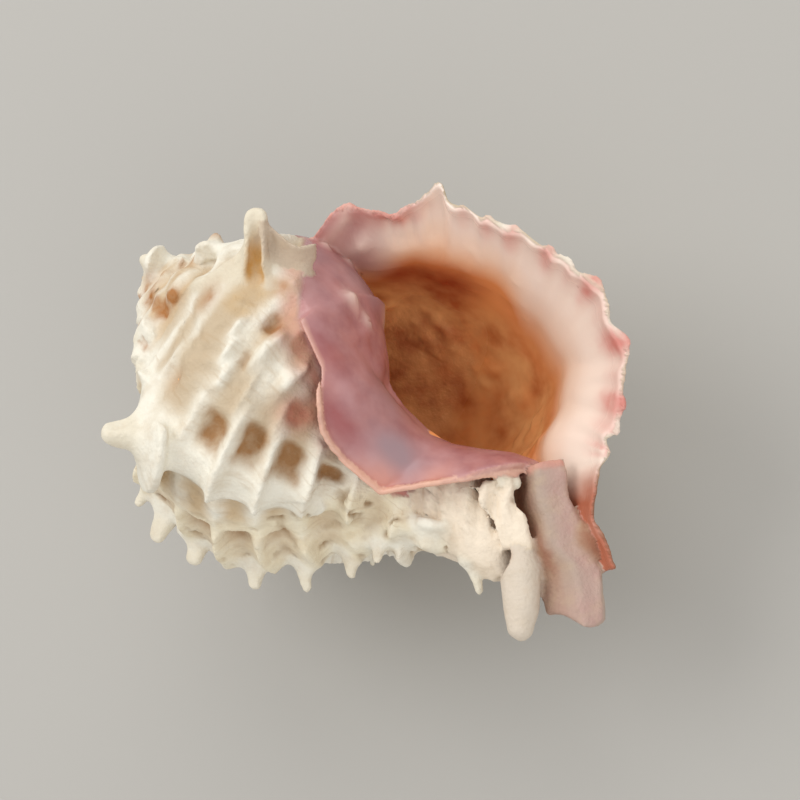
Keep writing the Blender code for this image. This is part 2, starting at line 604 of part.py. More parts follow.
def main():
    for old in list(bpy.data.objects):
        bpy.data.objects.remove(old)
    collection = bpy.data.collections.new("murex shell")
    bpy.context.scene.collection.children.link(collection)
    points, faces = build_shell()
    mesh = bpy.data.meshes.new("shell")
    mesh.from_pydata((points * MM).tolist(), [], faces)
    mesh.update()
    shell = bpy.data.objects.new("shell", mesh)
    shell.data.materials.append(nacre())
    collection.objects.link(shell)
    add_modifiers(shell)
    lay_down(shell)


main()
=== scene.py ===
import time
from math import cos, pi, radians, sin

import bpy
import numpy as np
from mathutils import Euler, Matrix, Vector
from mathutils.bvhtree import BVHTree


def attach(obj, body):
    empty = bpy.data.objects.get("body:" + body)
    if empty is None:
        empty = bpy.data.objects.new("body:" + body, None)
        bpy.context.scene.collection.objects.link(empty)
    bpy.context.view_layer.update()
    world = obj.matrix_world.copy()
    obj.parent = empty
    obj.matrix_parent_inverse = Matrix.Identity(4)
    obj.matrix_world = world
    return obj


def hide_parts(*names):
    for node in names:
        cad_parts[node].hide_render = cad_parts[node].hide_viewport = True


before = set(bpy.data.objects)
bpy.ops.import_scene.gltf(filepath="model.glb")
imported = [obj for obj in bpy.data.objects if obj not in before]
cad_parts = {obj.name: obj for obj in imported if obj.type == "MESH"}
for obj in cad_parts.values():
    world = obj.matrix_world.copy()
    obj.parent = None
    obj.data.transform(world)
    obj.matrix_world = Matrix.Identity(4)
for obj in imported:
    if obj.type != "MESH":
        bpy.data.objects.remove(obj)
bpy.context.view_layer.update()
startTime = time.time()


def tell(stage, *facts):
    print(stage, *facts, round(time.time() - startTime, 1))


tell("frame loaded")

mm = 0.001

# The shell is worked out in its own frame, in mm: apex at the origin, axis down -Z,
# front on -Y, outer lip on +X. It is turned to its resting pose at the end.
pose = {
    "angles": (-88.14, 1.27, 47.15),  # degrees
    "place": (-0.046984, 0.035031, 0.039489),
}

skin = {
    "voxel": 0.48,  # mm, grid that joins the loose shapes
    "triangles": 192000,
    "softenings": 2,
    "blend": 6,  # rounds that ease joints and soften colour borders
}

whorl = {
    "growth": 1.6,  # size gained in one turn
    "lipAzimuth": radians(72),
    "turns": 5.6,
    "hollowTurns": 1.1,
    "wall": 2.6,
    "lipWall": 1.1,
    "sectionChange": 0.45,  # turns over which the early section becomes the lip's
    "earlySection": (  # distance from the axis, depth below the apex, growth exponent
        (21.5, 28.5, 1), (27.5, 30, 1), (33, 33, 1), (37, 38, 1), (39, 44.5, 1), (39.6, 52, 1),
        (39, 60.5, 1), (36.5, 68.5, 1), (31.5, 75.5, 1), (25, 81, 0.95), (17, 84.5, 0.85), (11, 89, 0.7),
        (8, 95.5, 0.6), (7, 103, 0.55),
    ),
    "lipSection": (
        (20, 27.5, 1), (25, 31, 1), (30.5, 36, 1), (36.5, 43, 1), (41, 51.5, 1), (43.5, 61.5, 1),
        (43.5, 71, 1), (41, 79.5, 1), (34.6, 85.2, 1), (26.3, 88.4, 0.97), (21.8, 92.3, 0.9),
        (19.2, 98.2, 0.75), (17, 104.8, 0.62), (14.4, 110, 0.55),
    ),
}

ridges = {
    "formerLips": (0.19, 0.375, 0.53, 0.667, 0.892),  # turns before the lip
    "spinyLip": 0.53,  # the former lip with a full row of spines
    "height": 2.8,
    "crest": (-15, -5, 2.2),  # mm before and after a former lip where its crest stands
    "ramp": (-30, -8, 5),  # the same for the stronger cords around it
    "rowPitDepth": 2.6,
    "rowPits": (-19.5, -10.5),  # mm before a former lip
    "scoopDepth": 1.5,
    "scoops": (-14, -1.5),
    "sharpCords": (1.25, 0.25, 1.7),  # width, height between former lips, gain at them
    "broadCords": (3.0, 0.2, 0.9),
    "threads": (1.1, 0.3),  # width and height of the fine cords between
    "folds": (6.3, 0.3),  # spacing in mm and height of the low folds along the growth
    "growthLines": (  # height, turns apart, wobble and its rate
        (0.08, 0.0066, 5, 9), (0.14, 0.0171, 3, 14),
    ),
    # broad hollows: depth, turns from and to, share from and to (past 1 for no end), softness
    "dips": (
        (4.5, -0.82, -0.6, 0.06, 0.255, 0.04), (3, -0.5, -0.31, 0.575, 9, 0.075),
    ),
    "buried": (0.99, 1.02, 0.3, 0.36),  # turns back and share where the next whorl covers the wall
    "baseLag": 0.22,  # turns by which a former lip's base trails its shoulder
    "cordPlaces": (9, 21, 37.6, 48.6, 58.8, 68.9, 79.5, 88),  # mm along the section
    "cordHeights": (0.6, 1.2, 0.8, 1.3, 1.3, 1.3, 1.2, 0.9),
    "knobs": (  # turn, share of the section, half sizes of both, rise
        (-0.822, 0.448, 0.024, 0.021, 3.4), (-0.842, 0.46, 0.012, 0.012, 2.4),
        (-0.816, 0.538, 0.018, 0.019, 3.2), (-0.836, 0.556, 0.013, 0.012, 2.8),
        (-0.818, 0.35, 0.014, 0.011, 2.4), (-0.798, 0.373, 0.014, 0.011, 2.8),
        (-0.776, 0.4, 0.016, 0.011, 2), (-0.775, 0.471, 0.03, 0.008, 1.6),
        (-0.765, 0.577, 0.035, 0.009, 1.6), (-0.8, 0.33, 0.06, 0.06, 0.8),
    ),
    "pits": (  # turn, share of the section, half sizes of both, depth
        (-0.723, 0.44, 0.017, 0.03, 2.4), (-0.729, 0.545, 0.024, 0.032, 2.7),
        (-0.731, 0.645, 0.022, 0.034, 2.7), (-0.739, 0.748, 0.014, 0.032, 2.5),
        (-0.849, 0.412, 0.012, 0.017, 1.8), (-0.798, 0.422, 0.009, 0.013, 0.9),
        (-0.857, 0.508, 0.015, 0.022, 1.6), (-0.79, 0.612, 0.015, 0.024, 0.9),
    ),
}

lip = {
    "flareTurns": 0.075,
    "flareDepth": 8.5,  # mm
    "waveSpacing": 4.1,  # mm
    "waveHeight": 0.22,
    "lobes": (  # share of the section, height, width
        (0.1, 1.4, 0.035), (0.19, -1.4, 0.02), (0.258, 3.6, 0.022), (0.268, 1.6, 0.01),
        (0.31, 1.6, 0.03), (0.355, 0.5, 0.01), (0.42, 0.6, 0.03), (0.55, 0.8, 0.03), (0.585, -1, 0.012),
        (0.62, 1, 0.02), (0.72, -0.8, 0.01),
    ),
    "plaits": (0.178, 0.196, 0.214, 0.247),  # white ribs inside the upper lip
    "tips": (  # folds that end in a small point: share, height, width
        (0.31, 0.5, 0.007), (0.352, 0.7, 0.008), (0.396, 1, 0.009), (0.46, 1.2, 0.009),
        (0.5, 0.5, 0.007), (0.537, 1.3, 0.01), (0.57, 0.4, 0.007), (0.604, 1.5, 0.01),
        (0.64, 0.5, 0.007), (0.673, 1.6, 0.01), (0.705, 0.7, 0.007), (0.74, 0.9, 0.008),
        (0.775, 0.6, 0.007),
    ),
}

callus = {
    "depths": (43, 89),  # where the free sheet starts and ends
    "thickness": (0.9, 1.5),  # at its rim, and gained inward
    "depth": (24, 31, 37, 42, 48, 52, 57, 60, 64, 72, 76, 81, 86, 90),
    "left": (78, 52, 38, 26, 21, 17.5, 5, -2, -6, -8, 11, 36, 62, 82),  # azimuth of the rim
    # distance from the axis at the rim, then at the edge inside the mouth with its own depths
    "front": (26, 28, 28.5, 28.2, 27.8, 27, 24.6, 22.3, 18.5, 13.8, 13.8, 14.5, 17, 19.5),
    "edgeDepth": (24, 31, 36, 40, 45, 48, 53, 56, 60, 68, 72, 77, 82, 86, 90),
    "edgeRadius": (29, 30, 30.5, 28, 22.5, 18.5, 14.2, 12.8, 12.2, 11.8, 13, 15.8, 19, 20.5, 20.5),
}

# Codes that tell the finish where a point comes from
(outerWall, innerWall, oldWhorl, pillarPart, callusTop, callusUnder, canalOuter, canalInner,
 oldCanal, finPart, spinePart, frillPart, rimPart, lumpPart) = range(14)


def unit(x):
    return np.clip(x, 0, 1)


def ease(x, low, high):
    t = unit((x - low) / (high - low))
    return t * t * (3 - 2 * t)


def hump(x, centre, width):
    return np.exp(-(((x - centre) / width) ** 2))


def sectionMask(where, low, high, soft):
    return ease(where, low - soft, low + soft) * (1 - ease(where, high - soft, high + soft))


def cellNoise(points, size, seed):
    # smooth random field from 0 to 1, with lumps of the given size
    q = np.asarray(points, float) / size
    low = np.floor(q)
    f = q - low
    f = f * f * (3 - 2 * f)
    total = 0
    for corner in range(8):
        step = np.array([corner & 1, corner >> 1 & 1, corner >> 2 & 1])
        dot = (low + step) @ np.array([127.1, 311.7, 74.7]) + seed * 17.3
        value = np.sin(dot) * 43758.5453
        value = value - np.floor(value)
        total = total + value * np.prod(np.where(step, f, 1 - f), -1)
    return total


def layeredNoise(points, size, seed, layers=3):
    total, weight = 0, 0
    for k in range(layers):
        total = total + cellNoise(points, size / 2**k, seed + k) / 2**k
        weight += 1 / 2**k
    return total / weight


def curveThrough(points, count):
    points = np.asarray(points, float)
    last = len(points) - 1
    places = np.clip(np.linspace(0, last, count), 0, last - 1e-9)
    i = np.floor(places).astype(int)
    f = (places - i)[:, None]
    padded = np.vstack([2 * points[0] - points[1], points, 2 * points[-1] - points[-2]])
    a, b, c, d = (padded[i + k] for k in range(4))
    squared = 2 * a - 5 * b + 4 * c - d
    cubed = 3 * b - a - 3 * c + d
    return 0.5 * (2 * b + (c - a) * f + squared * f**2 + cubed * f**3)


def measured(points, count=1600):
    curve = curveThrough(points, count)
    steps = np.hypot(*np.diff(curve[:, :2], axis=0).T)
    return curve, np.concatenate([[0], np.cumsum(steps)])


earlyTable = measured(whorl["earlySection"])
lipTable = measured(whorl["lipSection"])
sectionLength = earlyTable[1][-1]
cords = [place / sectionLength for place in ridges["cordPlaces"]]


def atShare(table, share):
    curve, length = table
    return np.stack([np.interp(share * length[-1], length, curve[:, k]) for k in range(3)], -1)


def around(count):
    return np.linspace(0, 2 * pi, count, endpoint=False)


def azimuthOf(turn):
    return whorl["lipAzimuth"] - 2 * pi * turn


def pointAt(radius, angle, depth):
    x, y, z = np.broadcast_arrays(radius * np.sin(angle), -radius * np.cos(angle), -depth)
    return np.stack([x, y, z], -1)


def allFormerLips():
    return [-(t + k) for k in range(int(whorl["turns"])) for t in ridges["formerLips"]]


def callusLeft(depth):
    return np.radians(np.interp(depth, callus["depth"], callus["left"]))


def callusCover(turn, angle, depth, softness=5):
    turned = (angle + pi) % (2 * pi) - pi
    cover = ease(turned - callusLeft(depth), radians(-softness), radians(softness))
    return cover * ease(turn, -1.15, -1.05) * (1 - ease(turn, -0.74, -0.7))


def baseLag(share):
    return ridges["baseLag"] * ease(share, 0.8, 0.96)


def lipDistance(turn, share, lips=None):
    # turns from the nearest former lip, negative before it
    nearest = np.full(np.broadcast_shapes(np.shape(turn), np.shape(share)), 9.0)
    for former in allFormerLips() if lips is None else lips:
        away = turn - former + baseLag(share)
        nearest = np.where(np.abs(away) < np.abs(nearest), away, nearest)
    return nearest


def inMm(turns, share):
    # a distance in turns as mm along the surface of a lip-sized whorl
    return turns * 2 * pi * np.interp(share, earlyTable[1] / sectionLength, earlyTable[0][:, 0])


def behindLip(turn, share):
    return inMm(lipDistance(turn, share), share)


def behindSpinyLip(turn, share):
    rows = [-ridges["spinyLip"] - k for k in range(int(whorl["turns"]))]
    return inMm(lipDistance(turn, share, rows), share)


def aroundLip(behind, start, full, end):
    # rises towards a former lip and falls off after it
    return np.where(behind < 0, ease(behind, start, full), 1 - ease(behind, 0, end))


def cordProfile(share, width, places=None, power=2.0):
    chosen = cords if places is None else places
    return sum(np.exp(-(np.abs(share - c) * sectionLength / width) ** power) for c in chosen)


def betweenCords(share):
    return unit(1 - cordProfile(share, 3.1, cords + [cords[0] - 0.09]))


def marked(turn, share, places, sharpness):
    # soft ovals, raised or sunken: how strong they are, then their height
    strength, height = 0 * turn * share, 0 * turn * share
    for placeTurn, placeShare, along, across, rise in places:
        inside = np.exp(-np.abs((turn - placeTurn) / along) ** sharpness
                        - np.abs((share - placeShare) / across) ** sharpness)
        strength = strength + inside * min(rise / 2, 1)
        height = height + inside * rise
    return unit(strength), height


def rowPits(turn, share):
    # hollows in front of the former lips that the mouth side does not show
    behind = behindLip(turn, share)
    seen = sectionMask(turn, -0.96, -0.62, 0.02)
    back = 1 - 0.6 * ease(turn, -0.5, -0.4) - 0.4 * ease(-turn, 0.97, 1.05)
    rows = sectionMask(behind, *ridges["rowPits"], 1.5) * betweenCords(share)
    return rows * ease(share, 0.3, 0.4) * back * (1 - seen)


def relief(turn, share, covered):
    behind, spiny = behindLip(turn, share), behindSpinyLip(turn, share)
    between = betweenCords(share)
    fade = ease(share, 0.03, 0.13)
    crest = aroundLip(behind, *ridges["crest"])
    crest *= 1 - (np.abs(spiny) < 25) * (0.55 + 0.35 * (1 - ease(share, 0.16, 0.26)))
    ramp = aroundLip(behind, *ridges["ramp"])
    old = ease(-turn, 0.97, 1.05)
    height = 0
    for (width, low, gain), power in ((ridges["sharpCords"], 1.7), (ridges["broadCords"], 2.0)):
        raised = sum(h * cordProfile(share, width, [c], power)
                     for h, c in zip(ridges["cordHeights"], cords))
        height = height + raised * (low + gain * ramp)
    height *= 1 - 0.6 * old
    width, high = ridges["threads"]
    threads = cordProfile(share, width, [(a + b) / 2 for a, b in zip(cords[1:], cords[2:])])
    height = height + high * threads * (1 - ramp) + fade * ridges["height"] * crest
    scoops = sectionMask(spiny, *ridges["scoops"], 2.0) * between
    height = height - ridges["rowPitDepth"] * fade * rowPits(turn, share)
    height -= ridges["scoopDepth"] * scoops
    height -= 0.8 * between * fade * sectionMask(behind, 1.5, 12, 2)
    height = height + marked(turn, share, ridges["knobs"], 2.6)[1]
    height -= marked(turn, share, ridges["pits"], 4)[1]
    spacing, high = ridges["folds"]
    folds = np.cos(2 * pi * behind / spacing + 4 * np.sin(20 * share)) * (1 - ramp)
    height += high * folds * fade
    growthLines = sum(high * np.sin(2 * pi * turn / apart + wobble * np.sin(rate * share))
                      for high, apart, wobble, rate in ridges["growthLines"])
    height += growthLines * fade * (1 - 0.6 * ramp)
    for deep, start, end, low, high, soft in ridges["dips"]:
        height -= deep * sectionMask(turn, start, end, 0.05) * sectionMask(share, low, high, soft)
    knots = 2.4 * old * hump(share, cords[1], 4.0 / sectionLength) * (0.7 + 0.5 * np.sin(19 * turn))
    height += knots * np.cos(2 * pi * turn / 0.137 + 2 * np.sin(13 * turn))
    start, full, low, high = ridges["buried"]
    buried = ease(-turn, start, full) * ease(share, low, high)
    return height * (1 - buried) * (1 - 0.85 * covered)


def lipTips(share, wider=1.0):
    return sum(high * hump(share, place, wide * wider) for place, high, wide in lip["tips"])


def lipWaves(share):
    return np.cos(share * (2 * pi * lipTable[1][-1] / lip["waveSpacing"]) + 3 * np.sin(11 * share))


def flare(turn, share):
    rise = (ease(turn, -lip["flareTurns"], 0.02) / ease(0.0, -lip["flareTurns"], 0.02)) ** 1.4
    depth = lip["flareDepth"] * (0.8 + 0.35 * ease(share, 0.3, 0.6))
    depth = depth + sum(high * hump(share, place, wide) for place, high, wide in lip["lobes"])
    edge = ease(turn, -0.035, 0.0)
    depth = depth + lip["waveHeight"] * lipWaves(share) * ease(share, 0.1, 0.2) * edge
    depth += lipTips(share) * edge
    return rise * depth * ease(share, -0.05, 0.12) * (1 - 0.8 * ease(share, 0.8, 0.93))


def whorlSurface(turns, shares, carved=True, inset=0.0):
    turn = np.asarray(turns)[:, None]
    share = np.asarray(shares)[None, :]
    mix = ease(turn, -whorl["sectionChange"], 0.0)[..., None]
    early, late = atShare(earlyTable, np.asarray(shares)), atShare(lipTable, np.asarray(shares))
    section = early[None] * (1 - mix) + late[None] * mix
    size = whorl["growth"] ** turn
    radius = section[..., 0] * size ** section[..., 2]
    depth = section[..., 1] * size ** section[..., 2]
    depth = depth - 9 * ease(share, 0.86, 1.0) * sectionMask(turn, -0.66, -0.28, 0.05)
    dRadius, dDepth = np.gradient(radius, axis=1), np.gradient(depth, axis=1)
    length = np.hypot(dRadius, dDepth)
    angle = azimuthOf(turn) + 0 * radius
    height = flare(turn, share)
    covered = callusCover(turn, angle, depth)
    if carved:
        height = height + relief(turn, share, covered) * size + 1.2 * covered
    height = height - inset
    radius = radius + dDepth / length * height
    depth = depth - dRadius / length * height
    return pointAt(radius, angle, depth)


def gridFaces(rows, columns):
    # squares between rows of points, each row a closed ring
    i = np.arange(rows - 1)[:, None]
    j = np.arange(columns)[None, :]
    k = (j + 1) % columns
    corners = [i * columns + j, i * columns + k, (i + 1) * columns + k, (i + 1) * columns + j]
    return np.stack(corners, -1).reshape(-1, 4)


def marksFor(part, down, across):
    # notes for every point of a grid: its code, its place down the rows and its place across
    filled = np.full((len(down), len(across)), float(part))
    return np.stack([filled, down[:, None] + 0 * filled, across[None, :] + 0 * filled], -1)


def loft(rings, part, down, across):
    # closed skin over rings, each end closed by a fan
    rings = np.array(rings)
    rows, columns, _ = rings.shape
    faces = gridFaces(rows, columns).tolist()
    first, last = rows * columns, rows * columns + 1
    points = np.vstack([rings.reshape(-1, 3), rings[0].mean(0), rings[-1].mean(0)])
    marks = marksFor(part, down, across).reshape(rows * columns, -1)
    for j in range(columns):
        k = (j + 1) % columns
        faces.append([first, k, j])
        faces.append([last, (rows - 1) * columns + j, (rows - 1) * columns + k])
    return points, faces, np.vstack([marks, marks[0], marks[-1]])


def sheet(outer, inner, parts, down, across, innerAcross=None):
    # closed skin between two surfaces of the same grid
    outer, inner = np.array(outer), np.array(inner)
    innerMarks = marksFor(parts[1], down, across if innerAcross is None else innerAcross)
    rings = np.concatenate([outer, inner[:, ::-1]], 1)
    marks = np.concatenate([marksFor(parts[0], down, across), innerMarks[:, ::-1]], 1)
    rows, columns, _ = outer.shape
    wide = 2 * columns
    faces = gridFaces(rows, wide).tolist()
    for base, last in ((0, False), ((rows - 1) * wide, True)):
        for j in range(columns - 1):
            face = [base + j, base + wide - 1 - j, base + wide - 2 - j, base + j + 1]
            faces.append(face[::-1] if last else face)
    return rings.reshape(-1, 3), faces, marks.reshape(rows * wide, -1)


def turnSteps(start, end, perTurn):
    fine = np.linspace(start, end, 4001)
    density = np.ones_like(fine)
    for former in allFormerLips():
        density += 2 * hump(fine, former, 0.03)
    total = np.concatenate([[0], np.cumsum(0.5 * (density[1:] + density[:-1]))])
    count = int(perTurn * (end - start) * total[-1] / len(fine))
    return np.interp(np.linspace(0, total[-1], count), total, fine)


def lastWhorl():
    turns = turnSteps(-whorl["hollowTurns"], 0.0, 320)
    shares = np.linspace(0, 1, 260)
    wall = whorl["wall"] * whorl["growth"] ** turns
    wall = (wall + (whorl["lipWall"] - whorl["wall"]) * ease(turns, -0.04, 0.0))[:, None]
    across, along = shares[None, :], turns[:, None]
    folds = 0.16 * lipWaves(across) * sectionMask(across, 0.16, 0.82, 0.04) * ease(along, -0.05, -0.01)
    folds = folds - 0.75 * lipTips(across, 1.3) * ease(along, -0.045, -0.006)
    for place in lip["plaits"]:
        folds = folds + 1.0 * hump(across, place, 0.008) * sectionMask(along, -0.03, -0.006, 0.006)
    low = 0.5 * cordProfile(across, 3.5) * (1 - ease(along, -0.05, -0.01))
    outer = whorlSurface(turns, shares)
    sunk = np.clip(-relief(along, across, 0) - 0.2, 0, 7) * whorl["growth"] ** along
    inner = whorlSurface(turns, shares, carved=False, inset=wall - folds - low + sunk)
    return sheet(outer, inner, (outerWall, innerWall), turns, shares)


def spire():
    turns = turnSteps(-whorl["turns"], 0.07 - whorl["hollowTurns"], 170)
    shares = np.linspace(0, 1, 190)
    surface = whorlSurface(turns, shares)
    last, first = surface[:, -1], surface[:, 0]
    axis = []
    for f in np.linspace(0, 1, 7)[1:-1]:
        onAxis = last * (1 - f) + first * f
        onAxis[:, :2] = 0
        axis.append(onAxis)
    rings = np.concatenate([surface, np.stack(axis, 1)], 1)
    across = np.concatenate([shares, np.ones(5)])
    return loft(rings, oldWhorl, turns, across)


# The pillar inside the mouth: depth, x, y, radius
pillarLine = ((20, 0, 0, 6), (40, 0, 0, 8), (55, 2, 0, 9), (64, 3, 0, 8.6), (74, 4.4, 0, 8.2),
              (84, 5.0, 0, 6.6), (92, 4.0, 0.5, 4.0), (96, 3.6, 1, 3.0))


def pillar():
    angles = around(60)
    rings = []
    for depth, x, y, radius in curveThrough(pillarLine, 90):
        rings.append(pointAt(radius, -angles, depth) + [x, y, 0])
    return loft(rings, pillarPart, np.zeros(90), np.zeros(60))


def innerLip():
    depths = np.linspace(*callus["depths"], 150)
    thin, gained = callus["thickness"]
    outer, inner = [], []
    for depth in depths:
        left = callusLeft(depth)
        front = np.interp(depth, callus["depth"], callus["front"])
        edge = np.interp(depth, callus["edgeDepth"], callus["edgeRadius"])
        angles = np.linspace(left, radians(135), 150)
        radius = front + (edge - front) * ease(angles, radians(5), radians(78))
        radius = radius + (8 - radius) * ease(angles, radians(88), radians(135))
        thick = thin + gained * ease(angles - left, 0, radians(25))
        outer.append(pointAt(radius, angles, depth))
        inner.append(pointAt(radius - thick, angles, depth))
    across = np.linspace(0, 1, 150)
    return sheet(inner, outer, (callusUnder, callusTop), depths, across)


tubes = {  # x, y, depth, radius
    "finger": (  # with the angles where its wall starts and ends
        (7.6, -4.2, 92.4, 1.6, -100, 150), (6.6, -4.5, 94.4, 2.7, -105, 160),
        (5, -4.5, 96.3, 3.3, -108, 165), (3.6, -4.5, 97.8, 3.7, -125, 170),
        (2.4, -4.5, 99, 3.6, -175, 182), (-0.4, -4.5, 101.7, 3.3, -185, 190),
        (-3.1, -4.5, 104, 2.6, -185, 190), (-4.6, -4.5, 105.4, 2, -185, 190),
        (-5.5, -4.5, 106.2, 0.5, -185, 190),
    ),
    "fin": ((6, -2, 75, 8.0), (5, -2, 82, 7.2), (3.0, -1.5, 90, 5.4), (1.6, -1.5, 95.5, 2.6)),
    "lump": ((17.6, -2.5, 99.5, 0.8), (16.4, -2.8, 101.5, 1.8), (15.2, -2.8, 104.0, 1.8),
             (14.2, -2.5, 106.5, 0.8)),
    "root": ((3, 3, 72, 9.0), (3, 3, 81, 7.4), (3, 2, 88, 5.2), (2.5, 0, 93, 3.4)),
}

canalFolds = {  # left and right edge as x, y, depth, then the width of the groove floor
    "canal": (
        (12.6, -3, 83.5, 23.4, -7, 90.6, 0.3), (11, -1.5, 84.5, 22, -6.5, 92.9, 0.28),
        (9.4, -1.5, 86.5, 19.2, -5.5, 95.4, 0.26), (8.2, -1.5, 89, 17.4, -4.5, 99, 0.22),
        (7, -1.5, 91.9, 15.4, -4.5, 101, 0.2), (6, -1.5, 94.3, 13.5, -4.5, 103, 0.16),
        (5.4, -1.5, 96.5, 13.4, -4, 105.3, 0.1), (4.8, -1.5, 99, 13.1, -3.5, 108, 0.05),
        (3.7, -1.5, 102, 10.8, -3.5, 110.5, 0), (1.9, -1.8, 104.4, 8.5, -3.5, 112.7, 0),
        (0.9, -1.8, 106, 6.8, -3.5, 113.9, 0),
    ),
    "blade": (
        (9, -11, 82.3, 15.4, -9, 86.3, 0), (8.5, -10.5, 84.9, 13.6, -8.5, 88, 0),
        (7.6, -9.5, 87.4, 12.2, -8, 90.8, 0), (6.4, -8.5, 89.6, 10.8, -7.5, 93.4, 0),
        (5.3, -7.5, 91.9, 9.2, -7, 95.6, 0), (4.4, -7, 93.5, 8.1, -6.5, 97.2, 0),
    ),
}

thorns = {  # small points by the canal: foot, tip, width, bluntness
    "spur": ((-0.6, -2.5, 89.6), (-4.4, -1.0, 94.2), 2.8, 0.4),
    "stub": ((-1.0, -5.0, 80.8), (-4.9, -4.6, 82.8), 4.6, 0.9),
    "flake": ((13.8, -7.5, 85.6), (15.2, -7.0, 88.2), 2.2, 0.8),
    "spireCorner": ((1.8, -5.5, 5.2), (0.1, -4.0, 1.7), 3.6, 0.8),
    "spireTip": ((10.6, -13.6, 16.4), (13.6, -12.0, 13.9), 3.6, 0.6),
    "upperThorn": ((-8.2, -13.5, 17.0), (-11.9, -13.0, 15.6), 3.4, 0.5),
    "lowerThorn": ((-14.4, -18.5, 26.6), (-18.0, -17.5, 26.6), 3.4, 0.5),
}


def ringAt(point, tangent, angles, size):
    tangent = Vector(tangent).normalized()
    across = tangent.cross(Vector((0, 1, 0))).normalized()
    ring = np.outer(np.cos(angles), across) + np.outer(np.sin(angles), across.cross(tangent))
    return point + ring * size


def tubeAlong(path, radii, part, sides):
    tangents = np.gradient(path, axis=0)
    angles = around(sides)
    rings = [ringAt(*step[:2], angles, step[2]) for step in zip(path, tangents, radii)]
    return loft(rings, part, np.linspace(0, 1, len(path)), np.linspace(0, 1, sides))


def solidTube(rows, part):
    steps = curveThrough(rows, 80)
    return tubeAlong(steps[:, :3] * [1, 1, -1], steps[:, 3], part, 60)


def openTube(rows, part, wall=1.3):
    steps = curveThrough(rows, 90)
    path = steps[:, :3] * [1, 1, -1]
    outer, inner = [], []
    for point, tangent, step in zip(path, np.gradient(path, axis=0), steps):
        size = step[3]
        angles = np.radians(np.linspace(step[4], step[5], 90))
        outer.append(ringAt(point, tangent, angles, size))
        inner.append(ringAt(point, tangent, angles, size - min(wall, 0.8 * size)))
    down = np.linspace(0, 1, 90)
    return sheet(outer, inner, (part, canalInner), down, down)


def fold(rows, part, crest, scallop, wall):
    # a sheet from a left to a right edge, pushed to the front between them
    steps = curveThrough(rows, 110)
    across = np.linspace(0, 1, 80)
    down = np.linspace(0, 1, 110)
    away = steps[-1, :3] - steps[-8, :3]
    away = away / np.linalg.norm(away) * [1, 1, -1]
    outer, inner = [], []
    for row, f in zip(steps, down):
        left, right, floor = row[:3] * [1, 1, -1], row[3:6] * [1, 1, -1], row[6]
        line = left + (right - left) * across[:, None]
        top = right[1] - crest
        front = left[1] + (top - left[1]) * ease(across, floor - 0.1, floor + 0.42)
        line[:, 1] = front + (right[1] - top) * ease(across, 0.62, 1.0)
        line = line + np.outer(scallop * hump(across, 0.72, 0.26) * ease(f, 0.8, 1), away)
        thick = wall * (0.8 + 0.6 * ease(f, 0.6, 1.0))
        outer.append(line)
        inner.append(line + [0.2 * thick, thick, 0])
    back = canalInner if part == canalOuter else part
    return sheet(outer, inner, (part, back), down, across)


# Spines of each former lip: place along the section, length, lift, lean back, width, bluntness
lowSpines = ((33, 7, 0.1, 0, 3.8, 0.4), (45.5, 6, 0, 0, 3.8, 0.4), (59.5, 6, 0, 0, 3.8, 0.4),
             (72, 5, 0, 0, 3.4, 0.4))
spineRows = {
    0.19: ((21, 13, 0.2, 0.1, 6.0, 0.3),) + lowSpines,
    0.375: ((21, 12, 0.2, 0.1, 6.0, 0.3),) + lowSpines,
    0.53: ((20, 7, -0.2, 0, 4.4, 0.5), (28, 8.5, -0.4, 0, 6.0, 0.5), (38.5, 6.5, -0.7, 0, 6.0, 0.5),
            (46, 4.5, -0.9, 0, 3.6, 0.5), (54, 6.5, -0.9, 0, 5.4, 0.5), (66, 7.5, -1, 0, 4.6, 0.4),
            (77, 6.5, -0.9, 0, 4.6, 0.5), (84, 5, -0.9, 0, 3.6, 0.4)),
    0.667: ((27, 12, 0.95, 0, 9.0, 0.4), (27, 8, 0.95, 0, 14.0, 0.15), (45.5, 2, 0, 0, 3.4, 0.5),
            (59.5, 2, 0, 0, 3.4, 0.5), (72, 2, 0, 0, 3.4, 0.5)),
}


def spine(base, direction, height, width, forward, blunt):
    direction = Vector(direction).normalized()
    side = direction.cross(Vector(forward)).normalized()
    ahead = side.cross(direction)
    angles = around(36)
    groove = 1 - 0.5 * (1 - 0.5 * blunt) * hump(angles, 1.5 * pi, 0.55)
    rings = []
    sunken = min(0.35, 1.8 / height)
    steps = np.concatenate([np.linspace(-sunken, 0.8, 20), np.linspace(0.83, 0.995, 9)])
    for f in steps:
        narrowing = 1 - 0.8 * (1 - blunt) * max(f, 0) ** 0.8 - 0.12 * max(f, 0)
        taper = narrowing * (1 - max((f - 0.8) / 0.2, 0) ** 2.4) ** 0.5
        taper *= 1 + 0.7 * max(1 - max(f, 0) / 0.4, 0) ** 2
        wander = 0.05 * width * np.array([sin(7 * f + width), cos(5 * f), sin(4 * f)]) * max(f, 0)
        centre = np.array(Vector(base) + direction * (height * f)) + wander
        ring = centre + np.outer(np.cos(angles) * width * 0.6 * taper, side)
        rings.append(ring + np.outer(np.sin(angles) * groove * width * 0.6 * taper, ahead))
    return loft(rings, spinePart, steps, np.cos(angles - 1.5 * pi))


def surfaceFrame(turn, share):
    # point, direction of growth, direction out of the surface and direction away from the axis
    near = whorlSurface([turn - 0.004, turn], [share - 0.01, share, share + 0.01], carved=False)
    growthWay = near[1, 1] - near[0, 1]
    growthWay /= np.linalg.norm(growthWay)
    point = near[1, 1]
    outOf = np.cross(growthWay, near[1, 2] - near[1, 0])
    outOf /= np.linalg.norm(outOf)
    return point, growthWay, outOf, np.array([point[0], point[1], 0]) / np.hypot(point[0], point[1])


